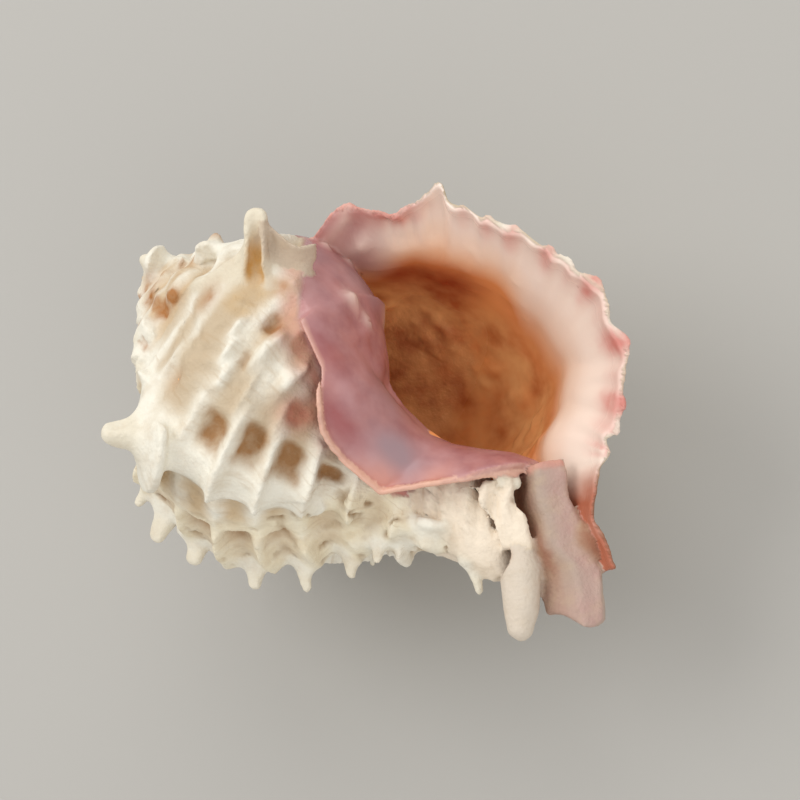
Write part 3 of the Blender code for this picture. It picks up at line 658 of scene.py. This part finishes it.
def spines():
    shapes = []
    for older in range(3):
        for former, rows in spineRows.items():
            if older > 0 and former == ridges["formerLips"][0]:  # inside the last whorl
                continue
            for placeAlong, length, lift, lean, width, blunt in rows if older == 0 else rows[:1]:
                share = placeAlong / sectionLength
                turn = -former - older - float(baseLag(share))
                size = whorl["growth"] ** turn
                point, growthWay, outOf, outward = surfaceFrame(turn, share)
                direction = outward + 0.35 * outOf + [0, 0, lift] - lean * growthWay
                base = point + outOf * ridges["height"] * size * 0.5
                if older > 0:
                    length = min(length, 5)
                shapes.append(spine(base, direction, length * size, width * size, growthWay, blunt))
    for foot, tip, width, blunt in thorns.values():
        foot, tip = np.array(foot) * [1, 1, -1], np.array(tip) * [1, 1, -1]
        length = float(np.linalg.norm(tip - foot))
        shapes.append(spine(foot, tip - foot, length, width, (0, -1, 0), blunt))
    return shapes


# The frill of the fourth former lip back: two sails and an open half tube between; x, y, z in mm
frill = {
    "sails": (  # pairs of foot and crest
        ((2.8, -19.0, -20.0, 3.4, -20.3, -19.6), (4.8, -22.4, -24.0, 6.8, -22.3, -21.9),
         (7, -24.6, -28, 10.3, -24, -23.8), (9.3, -24, -28.8, 14.4, -25.5, -25.2),
         (10.4, -23.4, -30.0, 18.1, -26.6, -23.7)),
        ((12.6, -24.2, -32.8, 20.6, -26.5, -26.4), (14.0, -23.2, -34.6, 20.7, -26.2, -31.0),
         (15.5, -21.5, -35.4, 21.3, -26.2, -34.0), (17.5, -21.5, -36.8, 23.6, -27.0, -36.6)),
    ),
    "hollow": (0.3, 2.2),  # how far each sail's middle sits back
    "tube": (  # centre and outer radius from foot to tip
        (10.2, -22, -32.4, 2.5), (13, -24.2, -30.2, 2.4), (16.6, -25.8, -27.6, 2.1),
        (19.4, -26.8, -25.4, 2.1), (21.6, -27.5, -23.7, 2),
    ),
    "side": (0.64, 0.0, -0.77),
    "wall": 0.95,
}


def sail(rows, hollow):
    steps = curveThrough(rows, 70)
    up = np.linspace(-0.15, 1, 50)
    front, back = [], []
    for row in steps:
        line = row[:3] + (row[3:6] - row[:3]) * up[:, None]
        line[:, 1] += hollow * np.sin(pi * unit(up))
        front.append(line)
        back.append(line + np.outer(1.1 + 2.4 * (1 - unit(up)), [0.15, 1, 0]))
    return sheet(front, back, (frillPart, frillPart), np.zeros(70), np.zeros(50))


def halfTube():
    steps = curveThrough(frill["tube"], 70)
    path = steps[:, :3]
    tangents = np.gradient(path, axis=0)
    side = np.array(frill["side"])
    angles = np.radians(np.linspace(-35, 215, 60))
    outer, inner = [], []
    down = np.linspace(0, 1, 70)
    for k, point in enumerate(path):
        behind = np.cross(side, tangents[k])
        behind *= np.sign(behind[1]) / np.linalg.norm(behind)
        ring = np.outer(np.cos(angles), side) + np.outer(np.sin(angles), behind)
        size = steps[k, 3] * (1 - max((k / 69 - 0.82) / 0.185, 0) ** 2.2) ** 0.5
        closing = ease(k / 69, 0.45, 0.92)
        outer.append(point + ring * size)
        hollow = ring * (size - frill["wall"]) * (1 - 0.97 * closing)
        inner.append(point + hollow - behind * 0.5 * closing)
    return sheet(outer, inner, (frillPart, frillPart), down, np.zeros(60), np.ones(60))


def rimBead():
    # the thin rolled edge of the inner lip
    depths = np.linspace(53, 88.5, 160)
    wave = 0.22 * np.sin(depths * 1.9) + 0.16 * np.sin(depths * 4.3)
    front = np.interp(depths, callus["depth"], callus["front"])
    path = pointAt(front + 0.75, callusLeft(depths) + np.radians(wave), depths)
    radii = 0.5 * ease(depths, 52, 56) * (1 - 0.5 * ease(depths, 84, 88.5)) + 0.05
    return tubeAlong(path, radii, rimPart, 16)


def joinShapes():
    shapes = [lastWhorl(), spire(), pillar(), innerLip(),
              fold(canalFolds["canal"], canalOuter, crest=2.2, scallop=2.4, wall=1.8),
              fold(canalFolds["blade"], finPart, crest=0.5, scallop=0.0, wall=1.6),
              openTube(tubes["finger"], oldCanal)]
    shapes += [solidTube(tubes[name], part) for name, part in
               (("fin", finPart), ("root", finPart), ("lump", lumpPart))]
    shapes += [halfTube(), rimBead()]
    shapes += [sail(rows, hollow) for rows, hollow in zip(frill["sails"], frill["hollow"])] + spines()
    points, faces, marks, base = [], [], [], 0
    for shapePoints, shapeFaces, shapeMarks in shapes:
        points.append(shapePoints)
        faces.extend([[base + i for i in face] for face in shapeFaces])
        marks.append(shapeMarks)
        base += len(shapePoints)
    return np.vstack(points), faces, np.vstack(marks)


def addObject(name, data):
    made = bpy.data.objects.new(name, data)
    bpy.context.scene.collection.objects.link(made)
    return made


def evaluatedMesh(thing):
    graph = bpy.context.evaluated_depsgraph_get()
    return bpy.data.meshes.new_from_object(thing.evaluated_get(graph))


def oneSkin(points, faces):
    loose = bpy.data.meshes.new("roughShell")
    loose.from_pydata(points.tolist(), [], faces)
    loose.update()
    rough = addObject("roughShell", loose)
    join = rough.modifiers.new("join", "REMESH")
    join.mode = "VOXEL"
    join.voxel_size = skin["voxel"]
    soften = rough.modifiers.new("soften", "SMOOTH")
    soften.factor = 0.5
    soften.iterations = skin["softenings"]
    squares = len(evaluatedMesh(rough).polygons)
    thin = rough.modifiers.new("thin", "DECIMATE")
    thin.ratio = min(1.0, skin["triangles"] / (2 * squares))
    thin.use_collapse_triangulate = True
    mesh = evaluatedMesh(rough)
    bpy.data.objects.remove(rough)
    return mesh


def readMesh(items, field, width, kind=float):
    flat = np.zeros(len(items) * width, kind)
    items.foreach_get(field, flat)
    return flat.reshape(-1, width)


def carryMarks(points, roughPoints, roughFaces, marks):
    # each final point takes the notes of the nearest place on the loose shapes
    tree = BVHTree.FromPolygons(roughPoints.tolist(), roughFaces)
    found = np.zeros((len(points), marks.shape[1]))
    for i, point in enumerate(points.tolist()):
        spot, _, face, _ = tree.find_nearest(point)
        corners = roughFaces[face]
        away = np.linalg.norm(roughPoints[corners] - np.array(spot), axis=1) + 1e-6
        weights = 1 / away**2
        found[i, 0] = marks[corners[int(np.argmax(weights))], 0]
        found[i, 1:] = weights @ marks[corners, 1:] / weights.sum()
    return found


def neighbourMean(values, edges):
    count = len(values)
    a, b = edges.T
    near = np.bincount(a, minlength=count) + np.bincount(b, minlength=count)
    columns = values.reshape(count, -1).T
    total = [np.bincount(a, v[b], count) + np.bincount(b, v[a], count) for v in columns]
    return (np.array(total) / np.maximum(near, 1)).T.reshape(values.shape)


def easeJoints(points, part, edges):
    # rounds off the line where a spine or frill leaves the wall
    wall = np.isin(part, (outerWall, oldWhorl))
    grown = np.isin(part, (spinePart, frillPart, finPart))
    a, b = edges.T
    joint = (wall[a] & grown[b]) | (wall[b] & grown[a])
    near = np.zeros(len(points))
    near[edges[joint].ravel()] = 1
    for _ in range(skin["blend"]):
        near = np.maximum(near, unit(1.7 * neighbourMean(near, edges)))
    for _ in range(3 * skin["blend"]):
        points = points + 0.7 * near[:, None] * (neighbourMean(points, edges) - points)
    return points


roughPoints, roughFaces, roughMarks = joinShapes()
tell("shapes laid out", len(roughPoints))
shellMesh = oneSkin(roughPoints, roughFaces)
tell("skin joined", len(shellMesh.polygons))
points = readMesh(shellMesh.vertices, "co", 3)
marks = carryMarks(points, roughPoints, roughFaces, roughMarks)
tell("notes carried over")

part = marks[:, 0].astype(int)
edges = readMesh(shellMesh.edges, "vertices", 2, np.int64)
points = easeJoints(points, part, edges)
shellMesh.vertices.foreach_set("co", points.ravel())
turn, share = marks[:, 1], marks[:, 2]
depth = -points[:, 2]
radius = np.hypot(points[:, 0], points[:, 1])
angle = np.degrees(np.arctan2(points[:, 0], -points[:, 1]))  # from the front towards the lip


def isPart(*codes):
    return np.isin(part, codes).astype(float)


def spot(spotAngle, spotDepth, wide, high):
    # soft oval on the shell's surface, wide in degrees and high in mm
    away = (angle - spotAngle + 180) % 360 - 180
    return np.exp(-((away / wide) ** 2) - ((depth - spotDepth) / high) ** 2)


def glossyRegions():
    # how much of each finish every point in and around the mouth shows
    top = isPart(callusTop, callusUnder, rimPart)
    inner = isPart(innerWall)
    covered = isPart(outerWall, oldWhorl) * callusCover(turn, np.radians(angle), depth, 2.0)
    nearTop = inner * (1 - ease(share, 0.10, 0.20)) * (1 - ease(-turn, 0.05, 0.09))
    skinOn = unit(top * (1 - ease(angle, 84, 96)) + covered + 0.8 * nearTop)
    wobble = 0.018 * (layeredNoise(points, 9, 3) - 0.5)
    upper = sectionMask(share, 0.17, 0.42, 0.05)
    inner = inner * (1 - (turn < -0.25) * (share > 0.9))  # the buried end stays chalky
    throat = inner * (-turn * (1 + 0.9 * upper) + wobble) + isPart(pillarPart) * 0.3 * (depth < 82)
    leftEdge = np.degrees(callusLeft(depth))
    canalWall = unit(inner + isPart(outerWall) * (turn > -0.015)) * ease(share, 0.80, 0.88)
    edge = isPart(outerWall, innerWall) * ease(turn, -0.022, -0.003) * (share < 0.86)
    rosy = unit(lipTips(share, 1.7) * 0.7 + 0.9 * (1 - ease(share, 0.20, 0.27)))
    return {
        "callus": skinOn, "throat": throat + top * 0.14 * ease(angle, 80, 100),
        "rim": unit(isPart(rimPart) + 0.5 * top * (1 - ease(angle - leftEdge, 1, 3))),
        "inner": inner, "canalWall": canalWall + isPart(lumpPart), "rosy": edge * rosy,
        "ember": inner * sectionMask(share, 0.14, 0.34, 0.05) * sectionMask(-turn, 0.055, 0.24, 0.02),
        "deep": inner * ease(-turn, 0.08, 0.13),
    }


spots = {  # strength, degrees from the front, depth, width in degrees, height in mm
    "deepRose": ((1, 7, 58.5, 6, 3.5), (1, 6, 62.5, 6, 3), (0.6, 25, 50, 7, 5), (0.5, 77, 32, 5, 2.5)),
    "lilac": ((1, 77, 40, 12, 5), (1.2, 20, 69, 15, 5), (0.7, 46, 61, 14, 5), (0.5, 60, 33, 8, 4)),
    "salmon": ((1, 0, 71, 10, 3.5), (1, 22, 77.5, 16, 2.2), (0.7, -7, 67, 5, 4)),
    "lumps": ((1, 74, 29.7, 3, 1.2), (1, 82, 33.7, 3, 1.3), (1, 55, 43.5, 4, 1.6), (1, 61, 47, 3, 1.3)),
}


def paintSpots():
    return {name: sum(row[0] * spot(*row[1:]) for row in rows) for name, rows in spots.items()}


def outsideRegions():
    wall = isPart(outerWall, oldWhorl)
    behind, spiny = behindLip(turn, share), behindSpinyLip(turn, share)
    between = betweenCords(share)
    onCords = cordProfile(share, 2.2)
    jitter = 0.01 * (layeredNoise(points, 4.0, 61) - 0.5)
    knobs = marked(turn, share, ridges["knobs"][:7], 2.2)[0]
    sunk = marked(turn + 2 * jitter, share + 4 * jitter, ridges["pits"], 6)[0]
    # painted highlight: the crests of former lips, knobs and nearby cords are made whiter, partly their
    # own white and partly light catching the raised parts
    crestWhiteAndHighlight = aroundLip(behind, -12, -9, 2.5) + 1.2 * knobs + onCords * ease(behind, -28, -14) * 0.9
    crestWhiteAndHighlight = unit(crestWhiteAndHighlight + 0.2 * onCords) * (1 - sunk)
    pit = sunk + 0.7 * rowPits(turn, share) + 0.35 * between * sectionMask(spiny, -13, -3, 2)
    return {
        "crestWhiteAndHighlight": wall * crestWhiteAndHighlight, "pit": wall * unit(pit),
        # painted shade: darker beige in the recesses between the cords, away from the crests
        "shade": wall * (between * (1 - crestWhiteAndHighlight) * 0.6),
        "aged": isPart(oldWhorl) * ease(-turn, 1.02, 1.25),
        "porous": unit(sectionMask(spiny, -19, 1, 3)) * wall,
        "tan": wall * sectionMask(behind, 2, 16, 2) * ease(share, 0.2, 0.3) * (turn > -1),
    }


def canalRegions(canalWall):
    canal, front, frills = isPart(canalOuter, canalInner), isPart(canalOuter), isPart(frillPart)
    pink = ease(share, 0.55, 0.95) + ease(turn, 0.75, 0.95) * 0.6
    # painted shade: brown along the canal's groove floor, fading to the right, partly the groove's own
    # brown and partly the shade of the hollow
    grooveBrownAndShade = canal * (1 - ease(share, 0.34, 0.74)) * (1 - 0.6 * ease(turn, 0.6, 0.9))
    groove = frills * share * (1 - ease(turn, 0.35, 0.75))
    plate = frills * ease(points[:, 0], 14.5, 17.5) * (points[:, 2] < -26.5) * (1 - groove)
    return {
        "spine": isPart(spinePart) * ease(turn, 0.1, 0.6) + frills, "groove": groove, "plate": plate,
        "canal": canal, "canalPink": front * unit(pink),
        "canalGrooveShadeAndWall": unit(grooveBrownAndShade + canalWall),
        "canalTop": front * (1 - ease(turn, 0.03, 0.07)),
        "fin": isPart(finPart), "finger": isPart(oldCanal),
    }


# Worn spots, mostly on the spire: x, y, z, radius, then how far they rise or how stained they are
wear = {
    "bumps": (
        (4.5, -17.4, -19.9, 2.2, 0.9), (3.5, -24.4, -24.8, 2.2, -0.9), (-0.1, -17.1, -18.3, 2.2, 1.4),
        (-2.7, -10.9, -12.4, 2, 1.2), (5.4, -9.2, -10.8, 2, -0.8), (1.3, -9.3, -9.8, 1.6, 0.8),
        (8.1, -13.1, -16.2, 1.8, 0.7), (-3.9, -15.9, -17, 2.4, -1.3), (-11.1, -25.4, -31.4, 2.6, -1.2),
        (-5.7, -23.2, -23.9, 2.4, 1), (-3.6, -10.4, -11.9, 1.6, -1),
    ),
    "stains": (
        (3.5, -24.6, -25, 2.6, 1), (-3.6, -10.4, -11.9, 1.8, 1), (-0.1, -17.1, -18.3, 1.6, 0.8),
        (-10.6, -22.6, -24.6, 1.7, 1), (13.2, -12.3, -14.4, 1.8, 1.2), (-1, -6, -6.5, 1.8, 0.7),
        (-11.1, -25.4, -31.4, 2.2, 0.5), (-3.9, -15.9, -17, 1.8, 0.6), (14, -24, -35.6, 2, 0.8),
        (8.2, -25.7, -40.1, 2, 0.8),
    ),
    "clay": (
        (9.5, -25.4, -48.5, 3.4, 1.2), (-1.3, -21.5, -52.9, 3.2, 1.2), (2, -21.5, -56.5, 3, 0.8),
        (9.5, -26.5, -42.5, 3, 0.5),
    ),
}


def nearTo(places):
    total = np.zeros(len(points))
    for x, y, z, reach, much in places:
        total += much * np.exp(-((points - [x, y, z]) ** 2).sum(1) / reach**2)
    return total


def awayFromSeams():
    # 1 on the walls, 0 where two loose shapes meet
    a, b = edges.T
    apart = (part[a] != part[b]) | (np.abs(turn[a] - turn[b]) > 0.04)
    seam = np.zeros(len(points))
    seam[edges[apart].ravel()] = 1
    for _ in range(2):
        seam = np.maximum(seam, unit(3 * neighbourMean(seam, edges)))
    return onWalls * (1 - seam)


def wornRegions(aged, porous, callusSkin):
    stain = unit(nearTo(wear["stains"]) * (0.6 + 0.8 * layeredNoise(points, 2.0, 71)))
    speckled = ease(cellNoise(points, 1.7, 31), 0.66, 0.85) * porous
    washed = ease(angle - np.degrees(callusLeft(depth)), -16, -2) * (1 - callusSkin)
    return {
        "lined": awayFromSeams(),
        "clay": unit(nearTo(wear["clay"])) * (1 - isPart(rimPart)),
        "speck": speckled * (0.4 + 0.6 * ease(layeredNoise(points, 6, 91), 0.45, 0.6)),
        "stain": stain + aged * ease(layeredNoise(points, 3.5, 81), 0.56, 0.72) * 0.8,
        "wash": isPart(outerWall) * washed * sectionMask(depth, 30, 60, 2) * (turn < -0.7),
    }


onWalls = isPart(outerWall, oldWhorl, innerWall)
regions = {**glossyRegions(), **paintSpots(), **outsideRegions()}
regions.update(canalRegions(regions["canalWall"]))
# spines take the same whiter crest colour, their own white with painted highlight
regions["crestWhiteAndHighlight"] = unit(regions["crestWhiteAndHighlight"] + isPart(spinePart))
regions.update(wornRegions(regions["aged"], regions["porous"], regions["callus"]))
for name in ("crestWhiteAndHighlight", "spine", "shade", "fin", "canal", "canalPink", "canalGrooveShadeAndWall", "groove", "porous"):
    for _ in range(skin["blend"]):
        regions[name] = 0.4 * regions[name] + 0.6 * neighbourMean(regions[name], edges)
finFolds = isPart(finPart) * (points[:, 1] < -4) * (1 - ease(depth - 0.5 * points[:, 0], 84, 90))
shiny = ease(0.2 - np.abs(regions["throat"] - 0.12), 0, 0.1)
shiny = shiny * isPart(innerWall, pillarPart, callusTop, callusUnder)
regions["gloss"] = unit(regions["callus"] + shiny)
tell("regions set out")


def surfaceNoise():
    # moves every point a little along its normal, chalky outside and smooth within
    normals = readMesh(shellMesh.vertices, "normal", 3)
    outside = 1 - regions["gloss"]
    chalk = layeredNoise(points, 2.4, 11) - 0.5
    broad = layeredNoise(points, 8.0, 21) - 0.5
    shift = outside * (0.35 * chalk + 0.5 * broad)
    shift -= 0.8 * regions["speck"]
    worn = layeredNoise(points, 4.5, 41) - 0.5
    shift += 3.4 * worn * regions["aged"] * np.clip(radius / 22, 0.4, 1)
    shift += nearTo(wear["bumps"])
    shift += 0.7 * finFolds * np.cos(2 * pi * (0.64 * points[:, 0] + 0.77 * depth) / 3.6 + 3 * worn)
    shift += 0.9 * unit(regions["lumps"])
    return points + normals * shift[:, None]


points = surfaceNoise()
shellMesh.vertices.foreach_set("co", points.ravel())
for name, values in regions.items():
    made = shellMesh.attributes.new(name, "FLOAT", "POINT")
    made.data.foreach_set("value", np.asarray(values, np.float32))
growth = np.stack([np.where(onWalls > 0, turn * 150, points[:, 0]),
                   np.where(onWalls > 0, share * sectionLength, points[:, 1]), 0 * depth], -1)
made = shellMesh.attributes.new("growth", "FLOAT_VECTOR", "POINT")
made.data.foreach_set("vector", growth.astype(np.float32).ravel())

world = Matrix.LocRotScale(Vector(pose["place"]), Euler([radians(a) for a in pose["angles"]]),
                           Vector((mm, mm, mm)))
shellMesh.transform(world)
shellMesh.shade_smooth()
shell = addObject("murexShell", shellMesh)
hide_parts("shell")
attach(shell, "root")


# Finish: colours are red, green and blue out of 255
finish = {
    "chalk": (200, 182, 154),
    "layers": (  # region, colour, amount, patch size in mm, patchiness
        # painted shade between the cords
        ("shade", (186, 162, 130), 0.8, 5, 0.8),
        ("tan", (196, 168, 128), 0.9, 4, 1),
        ("aged", (200, 172, 134), 0.8, 6, 1.2),
        # whiter crests and spines: their own white with painted highlight
        ("crestWhiteAndHighlight", (234, 228, 212), 1, 5, 0.8),
        ("spine", (224, 214, 192), 0.8, 4, 0.6),
        ("groove", (196, 150, 84), 1, 3, 0.6),
        ("porous", (234, 222, 194), 0.9, 3, 0.8),
        ("pit", (158, 116, 72), 1, 2.5, 0.7),
        ("plate", (192, 172, 150), 0.9, 4, 0.3),
        ("fin", (238, 222, 200), 1, 4, 0.4),
        ("finger", (212, 198, 180), 1, 4, 0.4),
        ("canal", (180, 164, 148), 1, 5, 0.4),
        ("canalPink", (190, 152, 142), 0.8, 5, 0.8),
        # groove floor: own brown with painted shade; canal wall: its own terracotta
        ("canalGrooveShadeAndWall", (150, 98, 72), 1, 5, 0.2),
        ("canalTop", (206, 146, 130), 0.8, 3, 0.3),
        ("wash", (204, 150, 130), 0.8, 5, 0.9),
        ("clay", (176, 106, 82), 0.9, 3, 0.3),
        ("speck", (150, 116, 76), 0.9, 1, 0.4),
        ("stain", (166, 108, 52), 0.85, 1.5, 0.5),
    ),
    "throat": (  # turns back from the lip, colour
        (0, (244, 224, 208)), (0.03, (246, 224, 206)), (0.055, (244, 212, 186)),
        (0.078, (244, 192, 152)), (0.105, (236, 154, 94)), (0.2, (252, 172, 102)),
    ),
    "throatLayers": (
        ("ember", (160, 66, 32), 0.9, 7, 0.5),
        ("deep", (180, 94, 46), 0.55, 9, 2),
        ("deep", (246, 186, 120), 0.5, 6, 2.4),
        ("canalWall", (178, 104, 78), 1, 5, 0.3),
        ("rosy", (212, 134, 122), 0.9, 3, 0.5),
    ),
    "lineColour": (176, 146, 108),
    "lineStrength": 0.3,
    "blotchColour": (196, 172, 140),
    "blotchStrength": 0.3,
    "throatStart": 0.12,  # how deep the inner lip and pillar take the throat's colours
    "roughness": (0.74, 0.48),  # of the chalky outside, and how much smoother the glossy skin is
    "bumpStrength": 0.6,
    "bumpDistance": 0.0005,
    "callus": (182, 118, 110),
    "callusLayers": (
        ("callus", (146, 84, 86), 0.6, 5, 1.9),
        ("callus", (196, 150, 150), 0.4, 7, 2.1),
        ("deepRose", (160, 84, 84), 0.8, 3, 0.6),
        ("lilac", (158, 130, 134), 0.9, 6, 0.4),
        ("salmon", (212, 142, 120), 0.7, 5, 0.6),
        ("rim", (232, 186, 160), 0.7, 3, 0.6),
        ("lumps", (238, 214, 200), 0.7, 3, 0.2),
    ),
}


def linear(colour):
    parts = [c / 255 for c in colour]
    return tuple(p / 12.92 if p <= 0.04045 else ((p + 0.055) / 1.055) ** 2.4 for p in parts) + (1.0,)


class NodeBench:
    # short ways to add the nodes that the finish is made of

    def __init__(self, tree):
        self.tree = tree
        local = self.add("TexCoord", {}, "Object")
        self.place = self.add("VectorMath", {0: local, "Scale": 1 / mm}, "Vector", operation="SCALE")

    def join(self, source, target):
        if isinstance(source, (int, float, tuple)):
            target.default_value = source
        else:
            self.tree.links.new(source, target)

    def add(self, kind, inputs, output, **settings):
        node = self.tree.nodes.new("ShaderNode" + kind)
        for name, value in settings.items():
            setattr(node, name, value)
        for name, value in inputs.items():
            self.join(value, node.inputs[name])
        return node.outputs[output]

    def region(self, name, output="Fac"):
        return self.add("Attribute", {}, output, attribute_name=name)

    def noise(self, size, detail=3.0, where=None, stretch=(1, 1, 1)):
        source = self.place if where is None else where
        scale = tuple(s / size for s in stretch)
        place = self.add("Mapping", {"Scale": scale, "Vector": source}, "Vector")
        return self.add("TexNoise", {"Scale": 1.0, "Detail": detail, "Vector": place}, "Fac")

    def math(self, operation, a, b=0.0, c=0.0, clamp=False):
        inputs = {0: a, 1: b, 2: c}
        return self.add("Math", inputs, "Value", operation=operation, use_clamp=clamp)

    def times(self, a, b, clamp=False):
        return self.math("MULTIPLY", a, b, clamp=clamp)

    def mix(self, amount, first, second):
        return self.add("Mix", {0: amount, 6: first, 7: second}, 2, data_type="RGBA")

    def layered(self, base, layers):
        for name, colour, amount, size, patchiness in layers:
            patches = self.math("MULTIPLY_ADD", self.noise(size), 2 * patchiness, 1 - patchiness)
            much = self.times(self.times(self.region(name), patches), amount, clamp=True)
            base = self.mix(much, base, linear(colour))
        return base

    def ramp(self, value, stops):
        top = stops[-1][0]
        colour = self.add("ValToRGB", {"Fac": self.math("DIVIDE", value, top)}, "Color")
        elements = colour.node.color_ramp.elements
        while len(elements) < len(stops):
            elements.new(0.5)
        for element, (position, shade) in zip(elements, stops):
            element.position = position / top
            element.color = linear(shade)
        return colour


def shellSurface():
    material = bpy.data.materials.new("shellSurface")
    material.use_nodes = True
    bench = NodeBench(material.node_tree)
    shader = material.node_tree.nodes["Principled BSDF"]
    lines = bench.noise(1.0, 2.0, bench.region("growth", "Vector"), (1.0, 0.12, 1))
    outside = bench.layered(linear(finish["chalk"]), finish["layers"])
    dirt = bench.math("MULTIPLY_ADD", lines, 5.0, -2.7, clamp=True)
    dirt = bench.times(dirt, bench.times(bench.region("lined"), finish["lineStrength"]))
    outside = bench.mix(dirt, outside, linear(finish["lineColour"]))
    blotch = bench.math("MULTIPLY_ADD", bench.noise(3.0, 4.0), 4.0, -2.0, clamp=True)
    blotch = bench.times(blotch, finish["blotchStrength"])
    outside = bench.mix(blotch, outside, linear(finish["blotchColour"]))
    throat = bench.ramp(bench.region("throat"), finish["throat"])
    throat = bench.layered(throat, finish["throatLayers"])
    rose = bench.layered(linear(finish["callus"]), finish["callusLayers"])
    inside = bench.math("MAXIMUM", bench.region("inner"), bench.region("rosy"))
    colour = bench.mix(inside, outside, throat)
    deep = bench.math("GREATER_THAN", bench.region("throat"), finish["throatStart"])
    colour = bench.mix(bench.region("callus"), bench.mix(deep, colour, throat), rose)
    bench.join(colour, shader.inputs["Base Color"])
    gloss = bench.region("gloss")
    chalky, smoother = finish["roughness"]
    bench.join(bench.math("MULTIPLY_ADD", gloss, -smoother, chalky), shader.inputs["Roughness"])
    grain = bench.noise(0.7, 3.0)
    lined = bench.times(lines, bench.region("lined"))
    height = bench.math("ADD", bench.times(lined, 0.4), bench.times(grain, 0.6))
    height = bench.math("MULTIPLY_ADD", bench.noise(2.4, 3.0), 1.2, height)
    height = bench.times(height, bench.math("MULTIPLY_ADD", gloss, -0.93, 1.0))
    bump = {"Strength": finish["bumpStrength"], "Distance": finish["bumpDistance"], "Height": height}
    bench.join(bench.add("Bump", bump, "Normal"), shader.inputs["Normal"])
    return material


shellMesh.materials.append(shellSurface())
tell("finish on")

camera = {
    "place": (0.12751, -0.09773, 0.43643),
    "angles": (13.776, 17.186, -0.004),
    "lens": 105.3,
}


def addCamera():
    lens = bpy.data.cameras.new("camera")
    lens.sensor_width = 36
    lens.lens = camera["lens"]
    viewer = addObject("camera", lens)
    viewer.location = camera["place"]
    viewer.rotation_euler = [radians(angle) for angle in camera["angles"]]
    bpy.context.scene.camera = viewer


addCamera()

stage = {
    "floorColour": (176, 173, 167),
    "lamps": (  # place, size, watts
        ((-0.5, 0.22, 0.76), 0.6, 3.0),
        ((0.05, 0.8, 0.7), 0.9, 3.0),
        ((0.45, -0.55, 0.5), 0.9, 1.6),
    ),
    "sky": 0.72,
}


def addStage():
    bpy.ops.mesh.primitive_plane_add(size=6, location=(0, 0, 0))
    floor = bpy.context.object
    floor.name = "floor"
    paint = bpy.data.materials.new("floorPaint")
    paint.use_nodes = True
    coat = paint.node_tree.nodes["Principled BSDF"]
    coat.inputs["Base Color"].default_value = linear(stage["floorColour"])
    coat.inputs["Roughness"].default_value = 0.9
    floor.data.materials.append(paint)
    for k, (place, size, watts) in enumerate(stage["lamps"]):
        lamp = bpy.data.lights.new(f"lamp{k}", "AREA")
        lamp.shape = "DISK"
        lamp.size = size
        lamp.energy = watts
        holder = addObject(f"lamp{k}", lamp)
        holder.location = place
        holder.rotation_euler = (-Vector(place)).to_track_quat("-Z", "Y").to_euler()
    world = bpy.data.worlds.new("studio")
    bpy.context.scene.world = world
    world.use_nodes = True
    sky = world.node_tree.nodes["Background"].inputs
    sky["Color"].default_value = (1, 1, 1, 1)
    sky["Strength"].default_value = stage["sky"]
    bpy.context.scene.view_settings.view_transform = "Standard"


addStage()
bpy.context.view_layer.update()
tell("ready")
